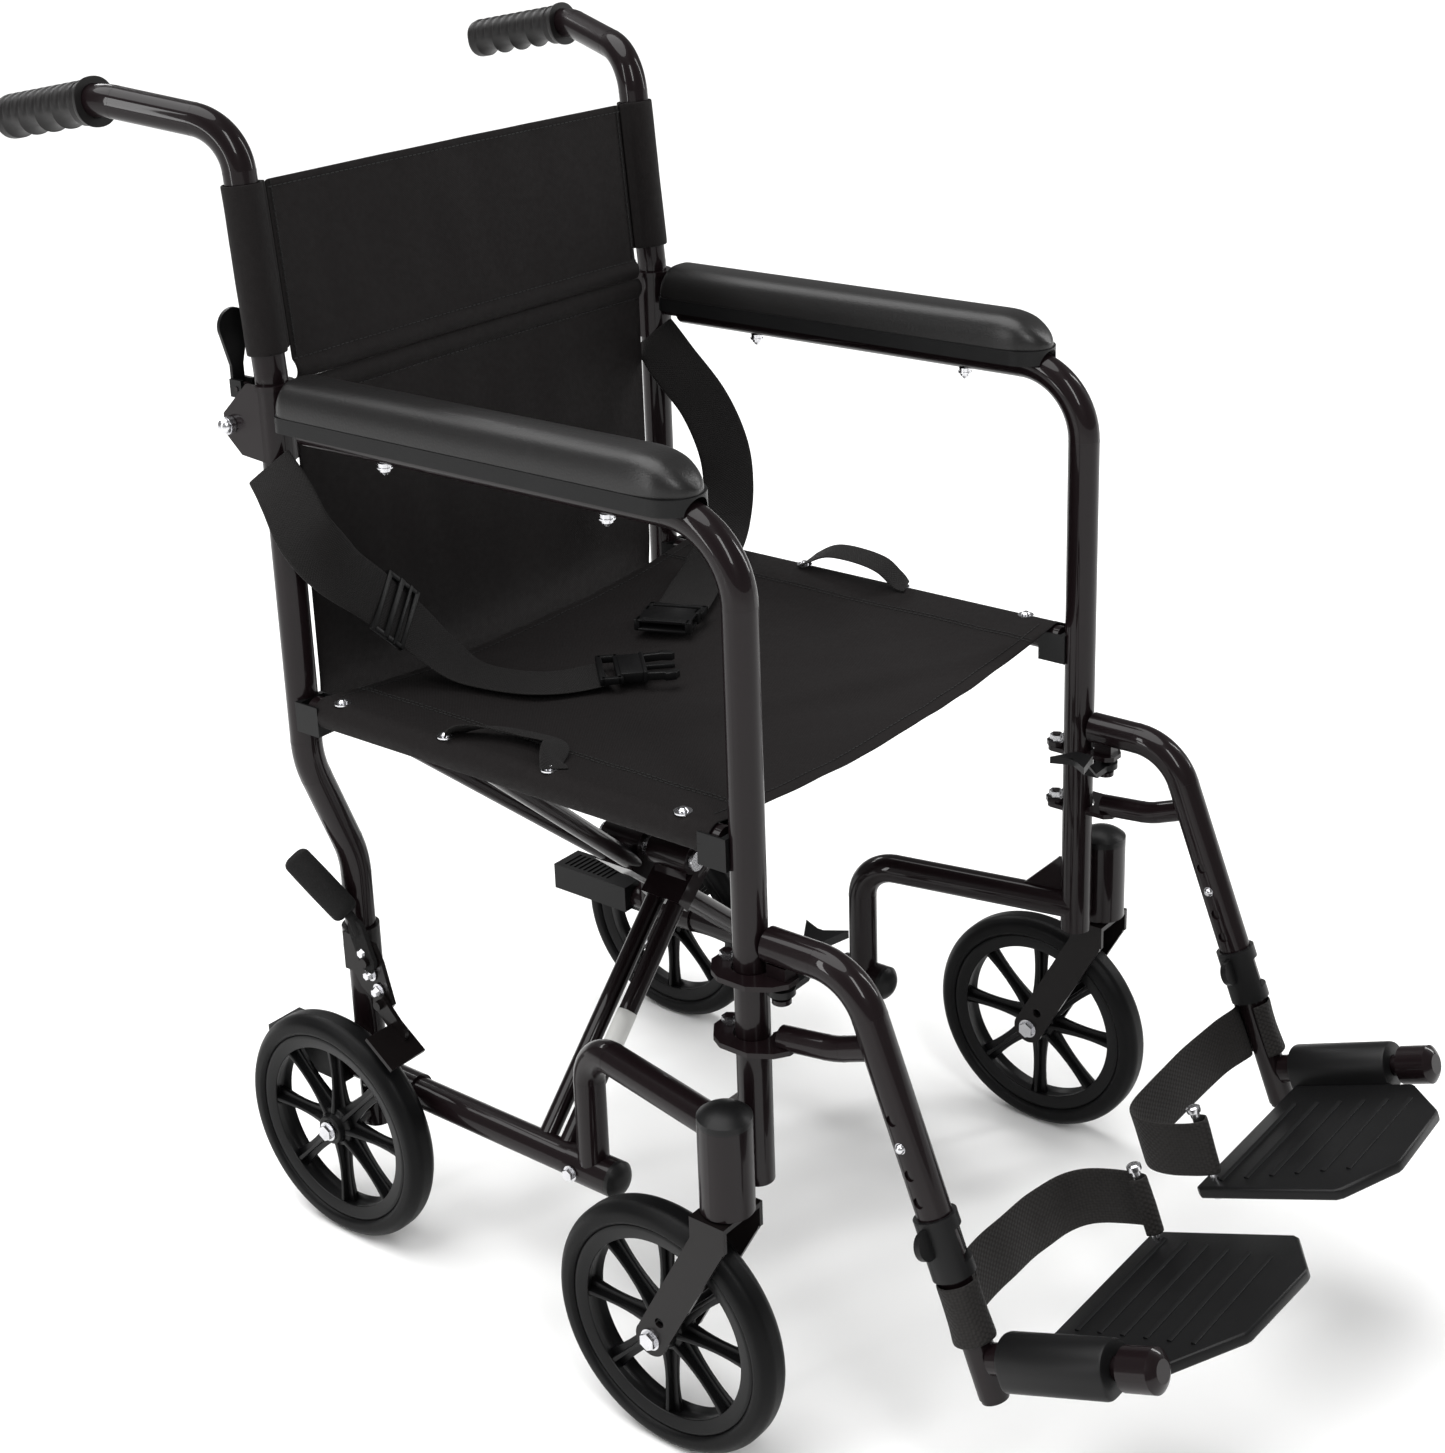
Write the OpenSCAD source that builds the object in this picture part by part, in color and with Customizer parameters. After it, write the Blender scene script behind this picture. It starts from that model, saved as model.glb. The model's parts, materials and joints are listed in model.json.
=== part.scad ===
// Folding transport wheelchair: two tube side frames, an X cross brace, a sling seat,
// a fold-down back, swing-away footrests, castering front wheels and rear wheels with brakes.
// Side parts are drawn for the left side (+X) and mirrored for the right side.
// +X is the sitter's left, the chair faces -Y, +Z is up, and the wheels stand on Z = 0.

/* [Frame] */
// Distance between the centres of the left and right front posts
post_spacing = 450; // [440:1:460]
// Depth position of the front post, measured forward from the middle of the side frame
front_post = 224; // [220:1:226]
// Depth position of the rear post, measured back from the middle of the side frame
rear_post_y = 222; // [220:1:224]
// Outside diameter of the frame tubes
tube_d = 25.4; // [25:0.1:26]
// Height of the arm tube's axis
arm_height = 723; // [715:1:740]
// Height of the seat rails' axes
seat_rail_height = 490; // [488:1:494]
// Height of the lower rails, which the cross brace turns on
lower_rail_height = 136; // [134:1:138]
// How far the lower rails stand in from the posts
lower_rail_inset = 39; // [38:1:40]

/* [Back] */
// Height of the back fold joint
joint_height = 711; // [709:1:713]
// How far the canes lean back, in degrees
cane_lean = 5; // [4:0.5:6]
// Height of the top edge of the back upholstery
back_top = 905; // [880:5:915]
// Height of the push grip's front end
grip_height = 962; // [955:1:970]
// Length of a push grip
grip_len = 112; // [100:1:120]

/* [Wheels] */
// Diameter of all four wheels over the tyre
wheel_d = 203.2; // [202:0.2:204]
// Width of the tyres
tyre_w = 27; // [25:0.5:28]
// Number of spokes in a wheel
spokes = 8; // [6:1:10]
// How far the caster wheel trails behind its swivel axis
caster_trail = 59; // [55:1:60]

/* [Footrests] */
// Lean of the leg tube from vertical, in degrees
leg_lean = 21; // [20:0.5:22]
// Spacing of the length adjustment holes
hole_pitch = 20; // [18:1:20]
// Width of the footplate from the sleeve's centre to its inner edge
plate_reach = 191; // [180:1:192]
// Length of the footplate along its axle
plate_len = 151; // [130:1:152]

/* [Hidden] */
$fn = 48;
hx = post_spacing / 2;
fy = -front_post;
ry = rear_post_y;
tr = tube_d / 2;
low_x = hx - lower_rail_inset;
low_z = lower_rail_height;
run_fit = 0.05;                 // radial clearance of a turning fit
gap = 0.3;                      // clearance between pieces that pass each other
seam = 0.9;                     // half length of the band that joins a bend to a straight stretch
seam_rise = 0.1;                // how far that band stands proud

// Depth shift that puts the origin under the middle of the whole chair
depth_shift = 60.4;

// Posts and arms
post_foot = 228;
arm_bend = 58;
arm_rear = 186;

// Seat rails and their cradles
rail_x = hx + 1;
rail_r = 11;
rail_front = fy + tr + 5;
rail_rear = ry - tr - 5;

// Lower rail and its spigots
stub_front = -50;
stub_rear = -6;
socket_front = 167;
spigot_r = 10;
spigot_len = 20;
stub_r = 15;
neck_y = -28;
neck_z = 250;

// Caster housing
caster_x = hx + 39;
caster_y = fy - 3;
housing_r = 20;
housing_z = 226;
housing_top = 296;
stem_r = 6;
crown_z = housing_z - 6;        // underside of the fork's crown plate

// Wheels
wheel_r = wheel_d / 2;
rear_wheel_x = hx - 4;
rear_wheel_y = ry + 6;
axle_r = 5;
hub_r = 17;
hub_w = 30;
rim_r = wheel_r - 17;
caster_wheel_y = caster_y + caster_trail;
fork_gap = 19;                  // from the wheel's middle plane to the fork leg's inner face
fork_t = 3.5;

// Cross brace
pivot_z = 319;
pivot_r = 5;
brace_r = 8;
a_foot = 16;
a_mid = 33;
a_top = [-38, 76];
b_foot = 92;
b_mid = 84;
b_top = [34, 122];
brace_mid_z = low_z + low_x * (seat_rail_height - low_z) / (low_x + rail_x);

// Back joint
hinge_y = ry + 33;
hinge_z = joint_height + 9;
hinge_r = 4;
foot_rise = 6;                  // the cane's foot stands this far up, so that it swings clear of the saddle
lean_z = 760;
cane_bend = 42;
latch_z = hinge_z + 26;

// Footrest: leg frame origin on the snap button, local -Z down the leg, local -Y along the axle
leg_x = hx - 2;
snap_y = fy - 131;
snap_z = 307;
swing_y = fy + 21;
pin_r = 3.5;
plate_z = [395, 343];           // undersides of the two hinge plates
plate_t = 4;
latch_y = fy - 26;
hanger_top = 420;
axle_drop = 161;
leg_bottom = 188;
leg_up = 45;
sleeve_r = 11;                  // leg tube radius, which slides in the hanger
button_r = 4;
hanger_end = 84;

// Brake
brake_x = low_x + 22;
lever_pivot = [192, 262];
shoe_pivot = [180, 226];

paint = [0.17, 0.13, 0.13];
plastic = [0.09, 0.09, 0.09];
rubber = [0.07, 0.07, 0.07];
zinc = [0.75, 0.76, 0.78];
cloth = [0.06, 0.06, 0.06];

// ---------- Helpers ----------

function unit(v) = v / norm(v);

// A round bar from a to b
module bar(a, b, r) {
    d = b - a;
    translate(a) rotate([0, acos(d.z / norm(d)), atan2(d.y, d.x)]) cylinder(h = norm(d), r = r);
}

// The bent stretch of a tube at the corner p, arriving along d1 and leaving along d2.
// It stops a little short at both ends, inside the seams that join it to the straight stretches.
module elbow(p, d1, d2, bend, r) {
    turn = acos(d1 * d2);
    short = seam / 3 / bend * 180 / PI;
    n = unit(d2 - (d1 * d2) * d1);
    c = p - d1 * bend * tan(turn / 2) + n * bend;
    k = cross(-n, d1);
    multmatrix([[-n.x, d1.x, k.x, c.x], [-n.y, d1.y, k.y, c.y], [-n.z, d1.z, k.z, c.z]])
        rotate([0, 0, short]) rotate_extrude(angle = turn - 2 * short) translate([bend, 0]) circle(r = r);
}

// A round tube along the points, with each corner bent to the radius bend
module tube(pts, bend, r) {
    last = len(pts) - 1;
    dirs = [for (i = [0 : last - 1]) unit(pts[i + 1] - pts[i])];
    trim = [for (i = [0 : last])
        i == 0 || i == last ? 0 : bend * tan(acos(dirs[i - 1] * dirs[i]) / 2)];
    for (i = [0 : last - 1])
        bar(pts[i] + dirs[i] * (trim[i] + (i == 0 ? 0 : seam / 3)),
            pts[i + 1] - dirs[i] * (trim[i + 1] + (i == last - 1 ? 0 : seam / 3)), r);
    for (i = [1 : last - 1]) {
        elbow(pts[i], dirs[i - 1], dirs[i], bend, r);
        bar(pts[i] - dirs[i - 1] * (trim[i] + seam), pts[i] - dirs[i - 1] * (trim[i] - seam), r + seam_rise);
        bar(pts[i] + dirs[i] * (trim[i] - seam), pts[i] + dirs[i] * (trim[i] + seam), r + seam_rise);
    }
}

// A cylinder of length h along X or along Y, centred on p
module along_x(p, r, h) { translate(p) rotate([0, 90, 0]) cylinder(h = h, r = r, center = true); }
module along_y(p, r, h) { translate(p) rotate([90, 0, 0]) cylinder(h = h, r = r, center = true); }

// A block centred on p
module block(p, size) { translate(p) cube(size, center = true); }

// A plate with round ends between two points of a plane, extruded to t. Its straight part is a
// little narrower than the round ends, so that no edge lies along a circle.
module link(a, b, r, t) {
    d = b - a;
    step = 0.2;
    linear_extrude(height = t, center = true) {
        translate(a) circle(r = r);
        translate(b) circle(r = r);
        translate(a) rotate(atan2(d.y, d.x)) translate([0, step - r]) square([norm(d), 2 * (r - step)]);
    }
}

// Puts an outline drawn in depth and height on the plane X = x
module on_x(x) { translate([x, 0, 0]) rotate([90, 0, 90]) children(); }

// A hexagon bolt head and its washer on the plane X = x, facing outwards along dir
module head_x(p, dir, r = 6) {
    translate(p) rotate([0, 90 * dir, 0]) {
        cylinder(h = 1, r = r + 1.5);
        translate([0, 0, 1]) cylinder(h = 4, r = r, $fn = 6);
    }
}

// Moves drawing into the leg frame
module on_leg() { translate([leg_x, snap_y, snap_z]) rotate([-leg_lean, 0, 0]) children(); }

// As on_leg, turned so that holes and collar face the chair's right on both legs (hand 1 right, -1 left)
module on_leg_face(hand) { on_leg() mirror([hand < 0 ? 1 : 0, 0, 0]) children(); }

// ---------- Side frame ----------

module front_frame() color(paint) {
    difference() {
        union() {
            tube([[hx, fy, post_foot], [hx, fy, arm_height], [hx, arm_rear, arm_height]], arm_bend, tr);
            along_y([hx, arm_rear + 8, arm_height], 8, 17);
            tube([[hx, fy, neck_z], [low_x, neck_y, neck_z], [low_x, neck_y, low_z]], 32, tr);
            along_y([low_x, (stub_front + stub_rear) / 2, low_z], stub_r, stub_rear - stub_front);
            along_y([low_x, stub_rear + spigot_len / 2, low_z], spigot_r, spigot_len);
            translate([caster_x, caster_y, housing_z]) cylinder(h = housing_top - housing_z, r = housing_r);
            block([hx + 19, (fy + caster_y) / 2, 262], [34, 7, 56]);
            // gusset over the neck tube
            translate([hx, fy, neck_z]) rotate([0, 0, atan2(neck_y - fy, low_x - hx)]) rotate([90, 0, 0])
                linear_extrude(height = 4, center = true) polygon([[8, 6], [48, 6], [48, 11], [16, 42], [8, 42]]);
            for (z = plate_z) hinge_lug(z);
        }
        translate([caster_x, caster_y, housing_z - 1]) cylinder(h = 60, r = stem_r + run_fit);
    }
}

// Lug behind the front post with the upright pin that a hanger plate turns on; z is the plate's underside
module hinge_lug(z) {
    block([hx, (fy + swing_y) / 2 + 3, z - 2.3], [14, swing_y - fy - 4, 4]);
    translate([hx, swing_y, z - 4.3]) cylinder(h = 4, r = 7);
    translate([hx, swing_y, z - 1]) cylinder(h = 11, r = pin_r);
}

module rear_post() color(paint) {
    difference() {
        union() {
            tube([[hx, ry, joint_height - 1], [hx, ry, 442], [low_x, ry, 342], [low_x, ry, 90]], 90, tr);
            along_y([low_x, (socket_front + ry) / 2, low_z], stub_r, ry - socket_front);
            along_y([low_x, socket_front - spigot_len / 2, low_z], spigot_r, spigot_len);
            along_y([low_x, ry + 26, low_z], 11, 52);
            along_x([(low_x + rear_wheel_x - hub_w / 2) / 2, rear_wheel_y, wheel_r], 11,
                    rear_wheel_x - hub_w / 2 - low_x - 1);
        }
        along_x([low_x, rear_wheel_y, wheel_r], axle_r, 70);
    }
}

// Open-backed channel that stiffens the joint between the rear post and the cane
module back_saddle() color(paint) {
    inner = tr + 0.4;
    wall = 2.5;
    low = joint_height - 16;
    top = joint_height + 44;
    difference() {
        union() {
            difference() {
                translate([hx, ry, low]) cylinder(h = top - low, r = inner + wall);
                translate([hx, ry, low - 1]) cylinder(h = top - low + 2, r = inner);
                block([hx, ry + 20, (low + top) / 2], [60, 40, top - low + 2]);
            }
            for (s = [-1, 1])
                on_x(hx + s * (inner + wall / 2)) linear_extrude(height = wall, center = true)
                    polygon([[ry - 1, low], [ry + 24, low + 2], [hinge_y + 8, hinge_z - 8],
                             [hinge_y + 8, hinge_z + 8], [ry + 12, top], [ry - 1, top]]);
            difference() {
                translate([hx, ry, top - 4]) cylinder(h = 4, r = inner + wall + 2);
                translate([hx, ry, top - 5]) cylinder(h = 6, r = inner);
                block([hx, ry + 20, top], [60, 40, 20]);
            }
            along_y([hx, ry - inner - wall - 0.4, arm_height], 8, 3);
        }
        along_x([hx, hinge_y, hinge_z], hinge_r, 60);
    }
}

// Grip position, and the angle that the grip drops towards its rear end
grip_x = hx + 37;
grip_y = ry + 133;
grip_drop = 10.2;
grip_front = -8;

// Point on the grip's axis, s behind the grip's origin
function grip_point(s) = [grip_x, grip_y + s * cos(grip_drop), grip_height - s * sin(grip_drop)];

// Points of a cane from its foot in the saddle to the end of the tube in the grip
function cane_pts() = [
    [hx, ry, joint_height + foot_rise],
    [hx, ry, lean_z],
    [hx, ry + (grip_height - 16 - lean_z) * tan(cane_lean), grip_height - 16],
    grip_point(-16),
    grip_point(grip_len - 28)
];

module back_cane() color(paint) {
    difference() {
        union() {
            tube(cane_pts(), cane_bend, tr);
            block([hx, (ry + hinge_y) / 2, hinge_z + 8], [12, hinge_y - ry, 12]);
            along_x([hx, hinge_y, hinge_z + 4], 10, 12);
            block([hx, hinge_y - 1.5, hinge_z + 20], [8, 5, 14]);
            along_x([hx, hinge_y, latch_z], 4, 8);
            along_x([hx, hinge_y, latch_z], 2, 16);
        }
        along_x([hx, hinge_y, hinge_z], hinge_r + run_fit, 30);
    }
}

// Moves drawing into the grip's own frame: local +Y runs back along the tube
module on_grip() { translate([grip_x, grip_y, grip_height]) rotate([-grip_drop, 0, 0]) children(); }

module push_grip() color(rubber) on_grip() {
    middle = grip_len / 2 + grip_front;
    difference() {
        union() {
            along_y([0, middle, 0], 16, grip_len);
            block([0, middle, -8], [25, grip_len - 6, 18]);
            along_y([0, grip_front + 2.5, 0], 19, 5);
            along_y([0, grip_len + grip_front + 1.5, 0], 13, 3);
            for (i = [0 : 12]) along_y([0, 6 + i * 7, 0.8], 16.2, 3);
        }
        along_y([0, grip_len / 2 - 20 + grip_front, 0], tr + 0.15, grip_len + 24 + 2 * grip_front);
        for (i = [0 : 3]) along_x([0, 16 + i * 22, -26], 12, 60);
    }
}

// Spoon-shaped release blade behind the cane
module back_latch() color(plastic) {
    z = latch_z;
    difference() {
        union() {
            translate([hx, hinge_y + 6, z]) rotate([90, 0, 0]) link([0, -1], [0, 30], 6, 3);
            translate([hx, hinge_y + 6, z + 48]) rotate([90, 0, 0])
                linear_extrude(height = 3, center = true) {
                    circle(r = 14);
                    polygon([[-6, -30], [6, -30], [13, -5], [-13, -5]]);
                }
            for (s = [-1, 1]) block([hx + s * 5.8, hinge_y + 1, z], [3, 13, 14]);
        }
        along_x([hx, hinge_y, z], 2.05, 30);
    }
}

module arm_base() color(plastic) {
    difference() {
        arm_outline(25, 0, arm_height + 2, 12);
        along_y([hx, 0, arm_height], tr + 0.15, 500);
    }
}

module arm_pad() color(plastic) {
    arm_outline(24, 1, arm_height + 14, 14);
    arm_outline(21, 4, arm_height + 28, 5);
    arm_outline(16, 9, arm_height + 33, 3);
}

// The arm pad's outline: a long rounded bar with a blunt round front
module arm_outline(half, back, z, h) {
    front_y = -168;
    rear_y = 200 - back;
    corner = 10;
    translate([hx, 0, z]) linear_extrude(height = h) {
        translate([0, front_y]) circle(r = half);
        translate([-half, front_y]) square([2 * half, rear_y - corner - front_y]);
        translate([-half + corner, rear_y - corner]) circle(r = corner);
        translate([half - corner, rear_y - corner]) circle(r = corner);
        translate([-half + corner, rear_y - 2 * corner]) square([2 * (half - corner), 2 * corner]);
    }
}

// ---------- Wheels ----------

// A spoked wheel rim along X, centred on the origin
module rim() {
    rotate([0, 90, 0]) rotate_extrude() {
        translate([axle_r + run_fit, -hub_w / 2]) square([hub_r - axle_r - run_fit, hub_w]);
        polygon([[rim_r - 12, -9], [rim_r, -10.5], [rim_r, 10.5], [rim_r - 12, 9],
                 [rim_r - 9, 2], [rim_r - 9, -2]]);
    }
    for (i = [0 : spokes - 1]) rotate([i * 360 / spokes, 0, 0]) {
        translate([-8, -2, hub_r - 2]) cube([16, 4, rim_r - hub_r - 4]);
        translate([-2, -6, hub_r - 3]) cube([4, 12, rim_r - hub_r - 4]);
    }
}

module tyre() {
    half = tyre_w / 2;
    rotate([0, 90, 0]) rotate_extrude() {
        polygon([[rim_r, -10.5], [rim_r + 3, -half], [wheel_r - 7, -half], [wheel_r - 2.5, -half + 4],
                 [wheel_r, -4], [wheel_r, 4], [wheel_r - 2.5, half - 4], [wheel_r - 7, half],
                 [rim_r + 3, half], [rim_r, 10.5]]);
    }
}

module front_wheel() color(plastic) translate([caster_x, caster_wheel_y, wheel_r]) rim();
module front_tyre() color(rubber) translate([caster_x, caster_wheel_y, wheel_r]) tyre();
module rear_wheel() color(plastic) translate([rear_wheel_x, rear_wheel_y, wheel_r]) rim();
module rear_tyre() color(rubber) translate([rear_wheel_x, rear_wheel_y, wheel_r]) tyre();

// Fork of bent flat plate that rakes back from the swivel to the wheel axle
module caster_fork() color(paint) {
    difference() {
        union() {
            for (s = [-1, 1]) on_x(caster_x + s * (fork_gap + fork_t / 2))
                link([caster_y + 2, crown_z - 14], [caster_wheel_y, wheel_r], 14, fork_t);
            block([caster_x, caster_y + 2, crown_z + 2], [2 * (fork_gap + fork_t), 31, 4]);
            for (s = [-1, 1]) block([caster_x + s * (fork_gap + fork_t / 2), caster_y + 2, crown_z - 6],
                                    [fork_t, 31, 20]);
            translate([caster_x, caster_y, crown_z]) cylinder(h = 60, r = stem_r);
            translate([caster_x, caster_y, crown_z + 3]) cylinder(h = 2.6, r = 12);
        }
        along_x([caster_x, caster_wheel_y, wheel_r], axle_r, 60);
        along_x([caster_x, caster_wheel_y - 9, wheel_r + 18], 4, 60);
    }
}

// Axle bolt, swivel bolt head and their nuts
module caster_bolts() color(zinc) {
    outer = fork_gap + fork_t;
    along_x([caster_x, caster_wheel_y, wheel_r], axle_r, 2 * outer + 2);
    for (s = [-1, 1]) head_x([caster_x + s * outer, caster_wheel_y, wheel_r], s, 7);
    translate([caster_x, caster_y, housing_z - 12]) cylinder(h = 6, r = 9, $fn = 6);
    for (s = [-1, 1]) along_x([caster_x + s * (hub_w / 4 + fork_gap / 2), caster_wheel_y, wheel_r], 8,
                              fork_gap - hub_w / 2 - 2 * gap);
}

// Every other bolt, screw and nut that stays with the side frame
module frame_bolts() color(zinc) {
    axle_in = low_x - tr - 8;
    axle_out = rear_wheel_x + hub_w / 2 + 4;
    side = tr + 3.3;            // outer face of the saddle's wall, from the post's axis
    // rear axle bolt, from the post through the wheel
    along_x([(axle_in + axle_out) / 2, rear_wheel_y, wheel_r], axle_r, axle_out - axle_in);
    head_x([rear_wheel_x + hub_w / 2 + 1, rear_wheel_y, wheel_r], 1, 7);
    head_x([low_x - tr, rear_wheel_y, wheel_r], -1, 7);
    // back hinge bolt with its dome nut on the outside
    along_x([hx, hinge_y, hinge_z], hinge_r, 2 * side + 4);
    head_x([hx - side, hinge_y, hinge_z], -1, 6.5);
    along_x([hx + side + 2.5, hinge_y, hinge_z], 7, 5);
    translate([hx + side + 5, hinge_y, hinge_z]) sphere(r = 6.5);
    // arm pad screws under the arm tube
    for (y = [-111, 105]) translate([hx, y, arm_height - tr - 4]) cylinder(h = 4, r = 5);
    // stub bolts on the outer side of the lower rail's sockets
    head_x([low_x + stub_r, stub_rear - 10, low_z], 1, 5);
    head_x([low_x + stub_r, socket_front + 14, low_z], 1, 5);
    // lock nuts on the hanger pins
    for (z = plate_z) translate([hx, swing_y, z + plate_t + gap]) difference() {
        cylinder(h = 5, r = 6, $fn = 6);
        translate([0, 0, -1]) cylinder(h = 7, r = pin_r);
    }
    // brake clamp bolts
    for (z = [252, 270]) along_y([low_x, ry + tr + 5, z], 4.5, 4);
}

// Caps, tipping pad and seat rail cradles
module frame_plastics() color(plastic) {
    // caster cap
    translate([caster_x, caster_y, housing_top]) intersection() {
        cylinder(h = 14, r = housing_r);
        translate([0, 0, -16]) sphere(r = 29);
    }
    // lower rail front cap
    intersection() {
        along_y([low_x, stub_front - 6, low_z], stub_r, 12);
        translate([low_x, stub_front + 8, low_z]) sphere(r = 19);
    }
    // tipping pad
    difference() {
        block([low_x, ry + 66, low_z + 3], [36, 92, 26]);
        along_y([low_x, ry + 26, low_z], 11, 52);
        for (i = [0 : 9]) block([low_x, ry + 48 + i * 6, low_z + 16], [24, 3, 3]);
    }
    // cradles that the seat rails rest in
    seat_cradle(fy, 1);
    seat_cradle(ry, -1);
}

// Plastic block hugging a post at y, with a channel for the rail's end
module seat_cradle(y, dir) {
    z = seat_rail_height;
    difference() {
        block([rail_x, y + dir * (tr + 7.5), z - 3.5], [27, 25, 25]);
        translate([hx, y, z - 20]) cylinder(h = 40, r = tr);
        along_y([rail_x, y + dir * 40, z], rail_r + gap, 80 - 2 * tr - 4);
        block([rail_x, y + dir * (tr + 22), z + 15], [2 * (rail_r + 0.8), 44, 30]);
    }
}

// ---------- Cross brace ----------

// One arm: a lower rail on side s, twin tubes up to the pivot, twin tubes on to the other seat rail
module cross_arm(s, foot, mid, top) {
    low = [s * low_x, foot, low_z];
    centre = [0, mid, brace_mid_z];
    rise = seat_rail_height - low_z;
    reach = low_x + rail_x;
    tilt = atan(rise / reach);
    length = socket_front - stub_rear - 2 * gap;
    difference() {
        union() {
            along_y([s * low_x, (socket_front + stub_rear) / 2, low_z], tr, length);
            for (side = [-1, 1]) {
                bar(low + [0, side * 11, 0], centre + [0, side * 11, 0], brace_r);
                bar(centre + [0, side * 11, 0],
                    [-s * (rail_x - 3), side < 0 ? top[0] : top[1], seat_rail_height - 3], brace_r);
            }
            translate(centre) rotate([0, s * tilt, 0]) cube([44, 41, 17], center = true);
            along_y([-s * rail_x, (rail_front + rail_rear) / 2, seat_rail_height], rail_r,
                    rail_rear - rail_front);
            along_y([0, mid, pivot_z], 13, 42);
            block([0, mid, pivot_z - 14], [14, 34, 18]);
        }
        along_y([s * low_x, stub_rear, low_z], spigot_r + run_fit, 2 * spigot_len + 2);
        along_y([s * low_x, socket_front, low_z], spigot_r + run_fit, 2 * spigot_len + 2);
        along_y([0, mid, pivot_z], pivot_r + (s < 0 ? run_fit : 0), 60);
    }
}

module cross_arm_a() color(paint) cross_arm(-1, a_foot, a_mid, a_top);
module cross_arm_b() color(paint) cross_arm(1, b_foot, b_mid, b_top);

module cross_pivot_bolt() color(zinc) {
    front = a_mid - 21 - gap;
    rear = b_mid + 21;
    along_y([0, (front + rear) / 2, pivot_z], pivot_r, rear - front + 4);
    along_y([0, front - 2, pivot_z], 9, 4);
    along_y([0, rear + 3, pivot_z], 8, 6);
    along_y([0, (a_mid + b_mid) / 2, pivot_z], 9, b_mid - a_mid - 42 - 2 * gap);
}

// ---------- Footrest ----------

module hanger(hand) color(paint) {
    corner_y = snap_y + (hanger_top - snap_z) * tan(leg_lean);
    down = hanger_end * [0, -sin(leg_lean), -cos(leg_lean)];
    difference() {
        union() {
            tube([[leg_x, latch_y + 11, hanger_top], [leg_x, corner_y, hanger_top],
                  [leg_x, snap_y, snap_z] + down], 46, tr);
            for (z = plate_z) hanger_plate(z);
            block([hx, latch_y, 403], [12, 16, 12]);
            tube([[hx, latch_y, 351], [leg_x, fy - 70, 356], [leg_x, snap_y + 24, 370]], 60, 9);
            // pivot pin of the latch lever, with its head
            translate([hx, latch_y, 379]) cylinder(h = 18, r = 4);
            translate([hx, latch_y, 379]) cylinder(h = 3.5, r = 7);
        }
        on_leg() translate([0, 0, -hanger_end - 1])
            cylinder(h = hanger_end + leg_up + hole_pitch + 3, r = sleeve_r + run_fit);
        on_leg_face(hand) for (i = [-1 : 3])
            translate([tr - 4, 0, -i * hole_pitch]) rotate([0, 90, 0]) cylinder(h = 8, r = button_r + 0.1);
    }
}

// Hinge plate round the outer side of the front post, turning on the pin behind it
module hanger_plate(z) {
    pin = swing_y - fy;
    nose = latch_y - fy;
    side = tr + 13;
    translate([hx, fy, z]) difference() {
        linear_extrude(height = plate_t)
            polygon([[-7, pin - 3], [-7, pin + 4], [-3, pin + 8], [8, pin + 8], [20, pin - 1], [side, 10],
                     [side, nose + 12], [16, nose - 4], [6, nose - 11], [-6, nose - 11], [-11, nose - 5],
                     [-11, nose + 12], [0, nose + 16], [0, pin - 11]]);
        translate([0, 0, -1]) cylinder(h = plate_t + 2, r = tr + 1.5);
        translate([0, pin, -1]) cylinder(h = plate_t + 2, r = pin_r + run_fit);
    }
}

// Thumb lever that unlocks the hanger from the post; its arm climbs past the hinge plate to a forked blade
module hanger_latch() color(plastic) {
    thick = 5;
    half = 6;
    climb = 20;
    translate([hx, latch_y, 386]) difference() {
        union() {
            cylinder(h = thick, r = 10);
            translate([0, half, 0]) rotate([90, 0, 0]) linear_extrude(height = 2 * half)
                polygon([[0, 0], [-24, 0], [-44, climb], [-52, climb], [-52, climb + thick], [-46, climb + thick],
                         [-27, thick], [0, thick]]);
            translate([-54, -8, climb - 0.5]) linear_extrude(height = thick + 1)
                polygon([[-7, -6], [18, 0], [18, 15], [-3, 28], [4, 11]]);
        }
        translate([0, 0, -1]) cylinder(h = thick + 2, r = 4 + run_fit);
    }
}

module leg_tube(hand) color(paint) on_leg_face(hand) {
    difference() {
        union() {
            translate([0, 0, -leg_bottom]) cylinder(h = leg_bottom + leg_up, r = sleeve_r);
            along_y([0, -62, -axle_drop], 8, 124);
            along_y([0, -16, -axle_drop], 11, 12);
        }
        translate([0, 0, -axle_drop + 14]) cylinder(h = axle_drop + leg_up, r = sleeve_r - 1.8);
        translate([sleeve_r - 4, 0, 0]) rotate([0, 90, 0]) cylinder(h = 8, r = button_r + 0.1);
    }
    // cap on the axle's front end and plug in the tube's foot
    intersection() {
        along_y([0, -132, -axle_drop], 15, 28);
        translate([0, -126, -axle_drop]) sphere(r = 21.5);
    }
    translate([0, 0, -leg_bottom - 3]) cylinder(h = 3, r = sleeve_r - 1);
}

module leg_collar(hand) color(plastic) on_leg_face(hand) {
    difference() {
        union() {
            translate([0, 0, -hanger_end - 14]) cylinder(h = 44, r = tr + 3);
            translate([tr + 6, 0, -hanger_end + 16]) rotate([90, 0, 0])
                linear_extrude(height = 5, center = true) { circle(r = 10); translate([-10, -10]) square([10, 20]); }
        }
        translate([0, 0, -hanger_end]) cylinder(h = 60, r = tr);
        translate([0, 0, -hanger_end - 30]) cylinder(h = 60, r = sleeve_r + run_fit);
        block([-6, -tr, -hanger_end + 8], [18, 16, 24]);
    }
}

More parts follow.
